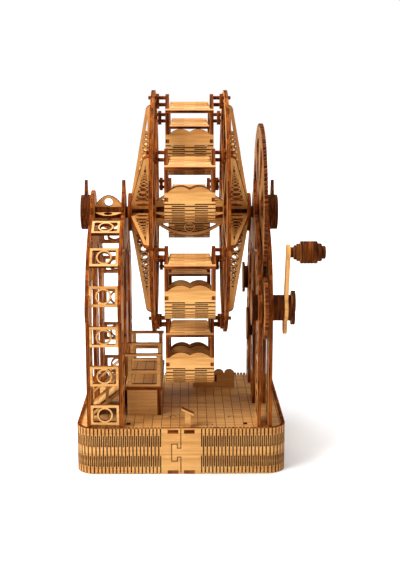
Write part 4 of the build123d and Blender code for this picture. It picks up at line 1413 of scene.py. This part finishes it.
@dataclass
class Towers:
    """Side frames, rungs, bearings and tie pins of the two towers."""

    leg_out: float = 82.0
    leg_in: float = 54.0
    spring_drop: float = 80.0
    shoulders: tuple[Pair, ...] = ((23, 40), (44, 61))
    post_half: float = 12.5
    post_top: float = -32.0
    head_r: float = 19.0
    spire_half: float = 8.2
    spire_sunk: float = 2.2
    spire_rise: float = 28.0
    boss_r: float = 15.5
    margin: float = 4.0
    fine_stroke: float = 1.25
    plain_stroke: float = 2.2
    heel_half: float = 4.0
    heel_rise: float = 1.5
    rung_h: float = 17.0
    rung_rail: float = 2.3
    rung_stile: float = 2.2
    rung_stroke: float = 1.5
    rung_ease: float = 0.8
    rung_sunk: float = 0.35
    rung_first: float = 12.0
    rung_pitch: float = 33.0
    rungs: int = 6
    bearing_r: float = 15.0
    plate_half: float = 7.0
    plate_foot: float = 13.0
    layer_gap: float = 0.35
    axle_r: float = 5.0
    tie_r: float = 3.0
    tie_end: float = 5.0
    tie_cap: float = 3.0
    drum_r: float = 10.6
    flange_r: float = 14.4
    flange_t: float = 2.0

    def _windows(self, pattern: Pattern, fine: bool) -> None:
        """Lattice windows of the legs, the arch's shoulders and the middle post.

        Args:
            pattern: the frame's pattern.
            fine: whether the windows hold a fine lattice or single crosses.
        """
        inner, outer = self.leg_in + self.margin, self.leg_out - self.margin
        low = FOOT_Z + 2 * self.margin
        bay = (BOSSES[0][1] - self.boss_r - low) / 3
        stroke = self.fine_stroke if fine else self.plain_stroke
        half = self.post_half - self.margin
        for side in (-1, 1):
            for k in range(3):
                z0, z1 = low + k * bay, low + (k + 1) * bay - self.margin

                def leg(p: Points, z0: float = z0, z1: float = z1, side: int = side) -> Points:
                    """Unit square laid upright into a leg."""
                    y = side * (inner + (outer - inner) * p[:, 0])
                    return np.column_stack([y, z0 + (z1 - z0) * p[:, 1]])

                lattice(pattern, leg, (4, 5) if fine else (1, 1), stroke)
            for a0, a1 in self.shoulders:

                def shoulder(p: Points, a0: float = a0, a1: float = a1, side: int = side) -> Points:
                    """Unit square bent along the arch.

                    Args:
                        p: rows of the unit square.
                        a0: angle at which the window starts, in degrees.
                        a1: angle at which it ends.
                        side: 1 for the right side, -1 for the left one.

                    Returns:
                        Rows of y and z.
                    """
                    r = inner + (outer - inner) * p[:, 0]
                    t = np.radians(a0 + (a1 - a0) * p[:, 1])
                    return np.column_stack([side * r * np.cos(t), r * np.sin(t) - self.spring_drop])

                lattice(pattern, shoulder, (4, 4) if fine else (1, 1), stroke)
        post_low = BOSSES[1][1] - self.boss_r - self.margin
        post_high = BOSSES[1][1] + self.boss_r + self.margin
        mid = (low + post_low) / 2
        rail = self.margin / 2
        for z0, z1 in ((low, mid - rail), (mid + rail, post_low), (post_high, self.post_top)):

            def post(p: Points, z0: float = z0, z1: float = z1) -> Points:
                """Unit square laid upright into the middle post."""
                return np.column_stack([half * (2 * p[:, 0] - 1), z0 + (z1 - z0) * p[:, 1]])

            lattice(pattern, post, (3, 4) if fine else (1, 1), stroke)

    def frame(self, name: str, x: float, fine: bool, geared: bool, pointed: bool = True) -> Piece:
        """Arched frame: legs, middle post, round head with a hollow-sided point, bosses and tabs.

        Args:
            name: node that the piece stands for.
            x: its middle, from the wheel's.
            fine: whether its windows hold a fine lattice or single crosses.
            geared: whether it carries the crank axle and the tie pins.
            pointed: whether its head has a point.

        Returns:
            The piece.
        """
        spring = (0.0, -self.spring_drop)
        ends = np.array([(-self.leg_out, FOOT_Z), (self.leg_out, FOOT_Z)])
        arch = arc(spring, self.leg_out, 0, 180, 61)
        gap = np.array([(-self.leg_in, FOOT_Z - 1), (self.leg_in, FOOT_Z - 1)])
        pattern = Pattern(np.concatenate([ends, arch]))
        pattern.cut(np.concatenate([gap, arc(spring, self.leg_in, 0, 180, 61)]))
        pattern.add(rect(-self.post_half, FOOT_Z, self.post_half, 0), ring((0, 0), self.head_r, 64))
        if pointed:
            spire(pattern, self.spire_half, self.head_r - self.spire_sunk, self.spire_rise)
        self._windows(pattern, fine)
        pattern.add(*[ring(boss, self.boss_r, 48) for boss in BOSSES])
        for y in FOOT_YS:
            pattern.add(rect(y - FOOT_HALF, FOOT_Z - PLY, y + FOOT_HALF, FOOT_Z + 1))
        for y in (-self.leg_out, self.leg_out):
            corner = (y - self.heel_half, FOOT_Z - 2, y + self.heel_half, FOOT_Z + self.heel_rise)
            pattern.cut(rect(*corner))
        pattern.cut(ring((0, 0), self.axle_r + RUN, 32))
        if geared:
            gaps = (RUN, 0, 0)
            pattern.cut(*[ring(boss, self.tie_r + gap, 24) for boss, gap in zip(BOSSES, gaps)])
        return Piece(name + "_board", "base", (name,)).sheet(pattern, board(x), turned=True)

    def rung_boards(self) -> Piece:
        """Rungs up the outer edge of the left tower's legs: windows with a hoop in the middle.

        A rung's middle lies at a way s up the leg; past the leg's straight part it turns
        by the angle (s - straight) / radius round the arch's centre.

        Returns:
            The piece.
        """
        piece = Piece("tower_rungs_hooped", "base", ("tower_rungs",))
        straight, r = -self.spring_drop - FOOT_Z, self.leg_out - PLY / 2
        h, w = self.rung_h / 2, (LEFT_X - INNER_X - PLY) / 2
        rail, stile = self.rung_rail, self.rung_stile
        window = rounded(rect(-w + stile, -h + rail, w - stile, h - rail), self.rung_ease)
        pattern = Pattern(rect(-w, -h, w, h)).cut(window)
        pattern.hoop((0, 0), h - rail + self.rung_sunk, self.rung_stroke)
        mid = WHEEL_X - (LEFT_X + INNER_X) / 2
        for k in range(self.rungs):
            s = self.rung_first + k * self.rung_pitch
            bend = max(0.0, degrees((s - straight) / r))
            y, z = polar(r, bend, (0.0, -self.spring_drop)) if bend else (r, FOOT_Z + s)
            for side in (-1, 1):
                lean = (0, -side * sin(radians(bend)), cos(radians(bend)))
                piece.sheet(pattern, flat((mid, side * y, AXLE_Z + z), (1, 0, 0), lean))
        return piece

    def bearing(self, name: str, face: float, side: int) -> Piece:
        """Round washer, pointed plate and round cap on an outer frame round the axle's end.

        Args:
            name: name of the node that the piece stands for.
            face: outer face of the frame, from the wheel's middle.
            side: 1 for the right side, -1 for the left one.

        Returns:
            The piece.
        """
        piece = Piece(name + "_stack", "base", (name,), edge=DARK_EDGE)
        for k in range(3):
            pattern = Pattern(ring((0, 0), self.bearing_r, 56))
            if k == 1:
                spire(pattern, self.plate_half, self.plate_foot, self.spire_rise)
            pattern.cut(ring((0, 0), self.axle_r + RUN, 32))
            piece.sheet(pattern, board(face + side * (k + 0.5) * PLY), PLY - self.layer_gap)
        return piece

    def ties(self) -> Piece:
        """Two pins through the right tower's frames with a drum and flanges at their ends.

        The profile's rows hold the way along the pin, from its inner end, and the radius.

        Returns:
            The piece.
        """
        piece = Piece("tower_ties_round", "base", ("tower_ties",), edge=DARK_EDGE)
        face, back = INNER_X - PLY / 2, RIGHT_X + PLY / 2
        flange, drum = self.flange_t, self.flange_t + PLY
        cap = back - face + self.tie_end
        end = cap + self.tie_cap
        rows = [(0, 0), (0, self.flange_r), (flange, self.flange_r), (flange, self.drum_r)]
        rows += [(drum, self.drum_r), (drum, self.tie_r), (cap, self.tie_r)]
        rows += [(cap, self.flange_r), (end, self.flange_r), (end, 0)]
        for y, z in BOSSES[1:]:
            piece.turned(np.array(rows), (WHEEL_X + face - drum, y, AXLE_Z + z), 56)
        return piece

    def build(self) -> None:
        """Makes the towers' pieces."""
        pieces = [
            self.frame("left_inner_frame", -INNER_X, fine=False, geared=False),
            self.frame("left_outer_frame", -LEFT_X, fine=True, geared=False, pointed=False),
            self.frame("right_inner_frame", INNER_X, fine=False, geared=True),
            self.frame("right_outer_frame", RIGHT_X, fine=True, geared=True),
            self.bearing("left_bearing", -LEFT_X - PLY / 2, -1),
            self.bearing("right_bearing", RIGHT_X + PLY / 2, 1),
            self.rung_boards(),
            self.ties(),
        ]
        for piece in pieces:
            piece.build()


# ------------------------------------------------------------------ boarding platform


@dataclass
class Platform:
    """Boarding platform with its railings, ramp, fence and sign.

    Pairs along X and Y are the two ends of a piece, from the wheel's middle and the
    object's. The handrails' windows are given by their sides from the foot and by their
    heights over the ramp; the fence's slot by half its width, its foot and its top.
    """

    deck_x: Pair = (-55.4, -23.5)
    deck_y: Pair = (-47.0, 42.0)
    rise: float = 26.0
    box_in: Pair = (3.0, 3.5)
    rail_h: float = 28.8
    rail_ys: tuple[float, ...] = (-45.5, -7.0, 38.0)
    rail_post: float = 3.3
    rail_w: float = 2.2
    rail_mid: float = 13.4
    rail_in: Triple = (2.4, 1.6, 0.4)
    rail_ease: float = 0.9
    ramp_y: Pair = (-43.0, -9.2)
    ramp_run: float = 30.4
    ramp_ends: Pair = (1.9, 1.0)
    handrail_h: float = 20.0
    handrail_foot: float = 2.0
    handrail_ease: float = 0.8
    handrail_xs: tuple[float, ...] = (2.6, 15.6, 18.2)
    handrail_zs: tuple[float, ...] = (1.4, 9.0, 11.2, 17.6)
    fence_x: Pair = (3.0, 42.0)
    fence_y: float = 41.0
    fence_h: float = 17.0
    scallops: int = 4
    fence_slot: tuple[float, ...] = (0.8, 5.4, 12.0)
    slot_shift: float = 2.0
    slot_ease: float = 0.5
    scallop_gap: float = 0.02
    tab_t: float = 1.5
    tab_ends: Pair = (0.3, 2.0)
    deck_plank: Pair = (8.0, 400.0)

    def deck(self) -> Piece:
        """Planked deck.

        Returns:
            The piece.
        """
        pattern = Pattern(rect(self.deck_x[0], self.deck_y[0], self.deck_x[1], self.deck_y[1]))
        place = flat((WHEEL_X, 0, FLOOR_TOP + self.rise - PLY / 2), (1, 0, 0), (0, 1, 0))
        return Piece("platform_deck_planks", "base", ("platform_deck",)).sheet(pattern, place)

    def box(self) -> Piece:
        """Plain front and back boards between the deck and the floor, and a long side board.

        Returns:
            The piece.
        """
        piece = Piece("platform_box_boards", "base", ("platform_box",))
        high, right = self.rise - PLY, self.deck_x[1] - self.box_in[0]
        panel = Pattern(rect(self.deck_x[0] + PLY / 2, 0, right - PLY / 2 - FIT, high))
        y0, y1 = self.deck_y[0] + self.box_in[1], self.deck_y[1] - self.box_in[1]
        for y in (y0, y1):
            piece.sheet(panel, facing(y))
        side = Pattern(rect(y0 - PLY / 2, 0, y1 + PLY / 2, high))
        return piece.sheet(side, board(right, z=FLOOR_TOP))

    def railings(self) -> Piece:
        """Three railings across the deck: two posts with a top, a middle and a bottom rail.

        Returns:
            The piece.
        """
        piece = Piece("platform_railings_open", "base", ("platform_railings",))
        left, right, over = self.rail_in
        x0, x1 = self.deck_x[0] + left, self.deck_x[1] - right
        post, rail, mid, top = self.rail_post, self.rail_w, self.rail_mid, self.rail_h
        pattern = Pattern(rect(x0, 0, x1, top))
        pattern.add(rect(self.deck_x[0], top - rail, self.deck_x[1] - over, top))
        for z0, z1 in ((rail, mid - rail / 2), (mid + rail / 2, top - rail)):
            pattern.cut(rounded(rect(x0 + post, z0, x1 - post, z1), self.rail_ease))
        for y in self.rail_ys:
            piece.sheet(pattern, facing(y, FLOOR_TOP + self.rise))
        return piece

    def _ramp_z(self, x: float) -> float:
        """Height of the ramp's walking face above the floor at an x from the wheel's middle."""
        return self.rise * (x - self.deck_x[0] + self.ramp_run) / self.ramp_run

    def handrails(self) -> Piece:
        """Handrails beside the ramp: posts with a sloping top, middle and bottom rail.

        Returns:
            The piece.
        """
        piece = Piece("ramp_handrails_open", "base", ("ramp_handrails",))
        low, high = self.deck_x[0] - self.ramp_run, self.deck_x[0] - FIT
        foot = low - self.handrail_foot
        top = np.array([(high, self.rise + self.handrail_h), (foot, self.handrail_h + self._ramp_z(foot))])
        feet = np.array([(foot, 0.0), (low + self.handrail_foot, 0.0), (high, self.rise - PLY)])
        pattern = Pattern(np.concatenate([top, feet]))
        post, mid0, mid1 = self.handrail_xs
        for x0, x1 in ((foot + post, foot + mid0), (foot + mid1, high - post)):
            for rise0, rise1 in (self.handrail_zs[:2], self.handrail_zs[2:]):
                window = [(x0, self._ramp_z(x0) + rise0), (x1, self._ramp_z(x1) + rise0)]
                window += [(x1, self._ramp_z(x1) + rise1), (x0, self._ramp_z(x0) + rise1)]
                pattern.cut(rounded(np.array(window), self.handrail_ease))
        for y in (self.ramp_y[0] - PLY / 2 - FIT, self.ramp_y[1] + PLY / 2 + FIT):
            piece.sheet(pattern, facing(y))
        return piece

    def ramp(self) -> Piece:
        """Planked ramp that leans from the floor to the deck's edge.

        Returns:
            The piece.
        """
        up, down = self.ramp_ends
        top = np.array([self.deck_x[0] - FIT, self.rise - down])
        foot = np.array([self.deck_x[0] - self.ramp_run, up])
        long = float(np.hypot(*(top - foot)))
        ux, uz = (top - foot) / long
        pattern = Pattern(rect(0, self.ramp_y[0], long, self.ramp_y[1]))
        place = flat((WHEEL_X + foot[0], 0, FLOOR_TOP + foot[1]), (ux, 0, uz), (0, 1, 0))
        return Piece("ramp_planks", "base", ("ramp",)).sheet(pattern, place, turned=True)

    def fence(self) -> Piece:
        """Scalloped fence with an upright slot and the tab that fills it.

        Returns:
            The piece.
        """
        x0, x1 = self.fence_x
        r = (x1 - x0) / self.scallops / 2
        high = self.fence_h - r
        pattern = Pattern(rect(x0, 0, x1, high))
        middles = [x0 + r * (2 * k + 1) for k in range(self.scallops)]
        pattern.add(*[ring((x, high), r - self.scallop_gap, 36) for x in middles])
        mid = (x0 + x1) / 2 + self.slot_shift
        half, low, top = self.fence_slot
        pattern.cut(rounded(rect(mid - half, low, mid + half, top), self.slot_ease))
        piece = Piece("back_fence_scalloped", "base", ("back_fence",)).sheet(pattern, facing(self.fence_y))
        sunk, over = self.tab_ends
        front, back = self.fence_y - PLY / 2 + sunk, self.fence_y + PLY / 2 + over
        tab = Pattern(rect(front, low + FIT, back, top - FIT))
        return piece.sheet(tab, board(mid, z=FLOOR_TOP), self.tab_t)

    def build(self) -> None:
        """Makes the platform's pieces and finishes the ramp and the sign."""
        width, length = self.deck_plank
        planks = PlankFloor("plank_deck", plank=width, plank_length=length).material()
        deck, ramp = self.deck(), self.ramp()
        for piece in (deck, self.box(), self.railings(), self.handrails(), self.fence(), ramp):
            mesh = piece.build().data
            if piece is deck or piece is ramp:
                mesh.materials[0] = planks
        dress("sign_post", BIRCH_Y)


# ------------------------------------------------------------------ crank


@dataclass
class Crank:
    """Crank: layered drums, a two-lobed cap, the arm, and the turned knob on its pin.

    The knob's steps are given by length and radius, from the arm outwards.
    """

    tilt: float = 17.0
    axle_r: float = 3.0
    arm_x: float = 78.5
    arm_len: float = 50.5
    arm_tail: float = 17.5
    arm_half: float = 6.4
    arm_w: float = 10.4
    drum_r: float = 10.6
    flange_r: float = 14.4
    flange_t: float = 2.0
    cap_gap: float = 2.8
    inner_face: float = 55.5
    outer_face: float = 67.5
    lobe: float = 5.0
    lobe_r: float = 9.6
    clear: float = 0.3
    pin_r: float = 2.0
    pin_end: float = 3.7
    groove: float = 0.25
    groove_half: float = 0.15
    knob: tuple[Pair, ...] = ((2.5, 4.2), (2.2, 5.8), (3.0, 7.0), (13.6, 9.0), (3.4, 7.2), (3.2, 5.2))
    knob_layer: float = 2.7
    knob_ease: float = 0.3

    def _at(self, x: float) -> Triple:
        """Point of the crank's axis at an x from the wheel's middle."""
        return (WHEEL_X + x, BOSSES[0][0], AXLE_Z + BOSSES[0][1])

    def _drum(self, long: float, radius: float) -> Points:
        """Profile of layers of sheet with a fine groove at each joint, round the axle's bore.

        Args:
            long: length of the drum.
            radius: its radius.

        Returns:
            Rows of the way along the axle and the radius.
        """
        rows = [(0.0, self.axle_r), (0.0, radius)]
        half = self.groove_half
        for k in range(1, max(1, round(long / PLY))):
            x = k * long / round(long / PLY)
            rows += [(x - half, radius), (x, radius - self.groove), (x + half, radius)]
        return np.array(rows + [(long, radius), (long, self.axle_r), (0.0, self.axle_r)])

    def discs(self) -> Piece:
        """Flange and drums on the crank's axle, and its two-lobed cap.

        Returns:
            The piece.
        """
        piece = Piece("crank_discs_round", "crank", ("crank_discs",), edge=DARK_EDGE)
        r, inner, outer = self.drum_r, self.inner_face - self.clear, self.outer_face + self.clear
        flange = inner - PLY - self.flange_t
        arm_in, arm_out = self.arm_x - PLY / 2, self.arm_x + PLY / 2
        spans = [(flange, flange + self.flange_t, self.flange_r), (flange + self.flange_t, inner, r)]
        spans += [(outer, arm_in, r), (arm_out, arm_out + self.cap_gap, r)]
        for x0, x1, radius in spans:
            piece.turned(self._drum(x1 - x0, radius), self._at(x0), 56)
        up = 90 + self.tilt
        cap = Pattern(*[ring(polar(way, up), self.lobe_r, 40) for way in (self.lobe, -self.lobe)])
        cap.cut(ring((0, 0), self.axle_r, 24))
        x = arm_out + self.cap_gap + PLY / 2
        return piece.sheet(cap, board(x, BOSSES[0][0], AXLE_Z + BOSSES[0][1]))

    def arm(self) -> Piece:
        """Arm with round ends and a round boss, bored for its axle and the knob's pin.

        Its faces and edges have one finish, because its laser-cut edge hardly shows.

        Returns:
            The piece.
        """
        up = 90 + self.tilt
        tip, tail = polar(self.arm_len, up), polar(-self.arm_tail, up)
        pattern = Pattern(ring(tip, self.arm_half, 36)).add(ring(tail, self.arm_half, 36))
        pattern.add(strip(tip, tail, self.arm_w), ring((0, 0), self.drum_r, 48))
        pattern.cut(ring((0, 0), self.axle_r, 24), ring(tip, self.pin_r, 20))
        place = board(self.arm_x, BOSSES[0][0], AXLE_Z + BOSSES[0][1])
        return Piece("crank_arm_board", "crank", ("crank_arm",), edge=FACE).sheet(pattern, place, turned=True)

    def handle(self) -> Piece:
        """Knob of glued discs: each layer of a step has eased rims, so that grooves part them.

        Returns:
            The piece.
        """
        up = 90 + self.tilt
        y, z = polar(self.arm_len, up, BOSSES[0])
        long = sum(length for length, _ in self.knob)
        bore = self.pin_r + RUN
        ease = self.knob_ease
        rows = [(long - self.pin_end, 0.0), (long - self.pin_end, bore), (0.0, bore)]
        x = 0.0
        for length, r in self.knob:
            layers = max(1, round(length / self.knob_layer))
            for k in range(layers):
                a, b = x + length * k / layers, x + length * (k + 1) / layers
                rows += [(a, r - ease), (a + ease, r), (b - ease, r), (b, r - ease)]
            x += length
        rows.append((long, 0.0))
        piece = Piece("crank_knob_turned", "knob", ("crank_knob",), edge=DARK_EDGE)
        start = (WHEEL_X + self.arm_x + PLY / 2 + self.clear, y, AXLE_Z + z)
        return piece.turned(np.array(rows), start, 48)

    def build(self) -> None:
        """Makes the crank's pieces and finishes its pinion and pins, which keep their shape."""
        for piece in (self.discs(), self.arm(), self.handle()):
            piece.build()
        for node in ("crank_pinion", "crank_axle", "knob_pin"):
            dress(node, BIRCH_X)


# ------------------------------------------------------------------ studio


@dataclass(frozen=True)
class Lamp:
    """Square soft lamp: its name, its place and side in metres, and its power in watts."""

    name: str
    at: Triple
    size: float
    power: float
    aim_z: float = 0.15

    def build(self) -> None:
        """Hangs the lamp, aimed at the object's middle."""
        data = bpy.data.lights.new(self.name, "AREA")
        data.size, data.energy = self.size, self.power
        obj = bpy.data.objects.new(self.name, data)
        x, y, z = self.at[0], self.at[1], self.at[2] - self.aim_z
        obj.location = self.at
        obj.rotation_euler = (atan2(hypot(x, y), z), 0, atan2(x, -y))
        bpy.context.scene.collection.objects.link(obj)


@dataclass
class Studio:
    """Pale floor, soft lamps and the camera.

    The floor's side and the two ways that its glow grows between are in metres.
    """

    floor_half: float = 4.0
    floor_tone: float = 0.9
    floor_roughness: float = 0.9
    glow_near: float = 0.12
    glow_far: float = 0.85
    glow_ways: Pair = (0.3, 1.3)
    world_light: float = 0.38
    focal_px: float = 1050.0
    image_h: float = 570.0
    sensor: float = 36.0
    pitch: float = 10.84
    yaw: float = 0.747
    distance: float = 912.73
    height: float = 109.75
    offset: float = -2.73
    lamps: tuple[Lamp, ...] = (
        Lamp("key", (-1.1, -1.0, 1.1), 0.8, 30.0),
        Lamp("fill", (1.2, -1.2, 0.7), 1.2, 3.0),
        Lamp("top", (-0.2, 0.1, 1.7), 0.9, 28.0),
    )

    def camera(self) -> None:
        """Camera at the height and turn that the wheel's rims and the base give."""
        data = bpy.data.cameras.new("camera")
        data.lens = self.focal_px * self.sensor / self.image_h
        data.sensor_width = self.sensor
        obj = bpy.data.objects.new("camera", data)
        obj.location = [c * MM for c in (WHEEL_X + self.offset, -self.distance, AXLE_Z + self.height)]
        obj.rotation_euler = (radians(90 - self.pitch), 0, radians(-self.yaw))
        bpy.context.scene.collection.objects.link(obj)
        bpy.context.scene.camera = obj

    def floor(self) -> None:
        """Wide white floor that keeps the object's soft shadow.

        The camera and what mirrors or lets through see a glow added to it, least near the
        object, where the lamps light it.
        """
        mesh = bpy.data.meshes.new("studio_floor")
        corners = rect(-self.floor_half, -self.floor_half, self.floor_half, self.floor_half)
        mesh.from_pydata([(x, y, 0) for x, y in corners], [], [(0, 1, 2, 3)])
        obj = bpy.data.objects.new("studio_floor", mesh)
        bpy.context.scene.collection.objects.link(obj)
        n = Nodes("studio_white")
        n.shader.inputs["Base Color"].default_value = (*[self.floor_tone] * 3, 1)
        n.shader.inputs["Roughness"].default_value = self.floor_roughness
        spot = n.add("TexCoord").outputs["Object"]
        way = n.add("VectorMath", operation="LENGTH", i0=spot).outputs["Value"]
        near, far = self.glow_ways
        share = n.add("MapRange", i0=way, i1=near, i2=far, i3=self.glow_near, i4=self.glow_far)
        glow = n.add("Emission", i1=share.outputs[0])
        path = n.add("LightPath").outputs
        seen = n.math("MAXIMUM", path["Is Camera Ray"], path["Is Glossy Ray"])
        seen = n.math("MAXIMUM", seen, path["Is Transmission Ray"])
        both = n.add("AddShader", i0=n.shader.outputs[0], i1=glow.outputs[0])
        choose = n.add("MixShader", i0=seen, i1=n.shader.outputs[0], i2=both.outputs[0])
        n.tree.links.new(choose.outputs[0], n.tree.nodes["Material Output"].inputs[0])
        mesh.materials.append(n.material)

    def world(self) -> None:
        """Even dim light from all round, seen as white by the camera."""
        world = bpy.data.worlds.new("studio_world")
        bpy.context.scene.world = world
        world.use_nodes = True
        tree = world.node_tree
        back, white = tree.nodes["Background"], tree.nodes.new("ShaderNodeBackground")
        for node, strength in ((back, self.world_light), (white, 1.0)):
            node.inputs[0].default_value = (1, 1, 1, 1)
            node.inputs[1].default_value = strength
        path = tree.nodes.new("ShaderNodeLightPath")
        mix = tree.nodes.new("ShaderNodeMixShader")
        sources = (path.outputs["Is Camera Ray"], back.outputs[0], white.outputs[0])
        for source, socket in zip(sources, mix.inputs):
            tree.links.new(source, socket)
        tree.links.new(mix.outputs[0], tree.nodes["World Output"].inputs[0])

    def build(self) -> None:
        """Sets the stage."""
        self.camera()
        self.floor()
        self.world()
        for lamp in self.lamps:
            lamp.build()
        bpy.context.scene.view_settings.view_transform = "Standard"


def main() -> None:
    """Dresses every sub-assembly and sets the studio."""
    logging.basicConfig(level=logging.INFO, format="%(name)s: %(message)s")
    parts: list[object] = [BaseBox(), Towers(), Platform(), Wheel(), Crank()]
    parts += [Gondola(number) for number in range(1, SEATS + 1)]
    for part in parts:
        part.build()
    Studio().build()


if __name__ == "__main__":
    main()
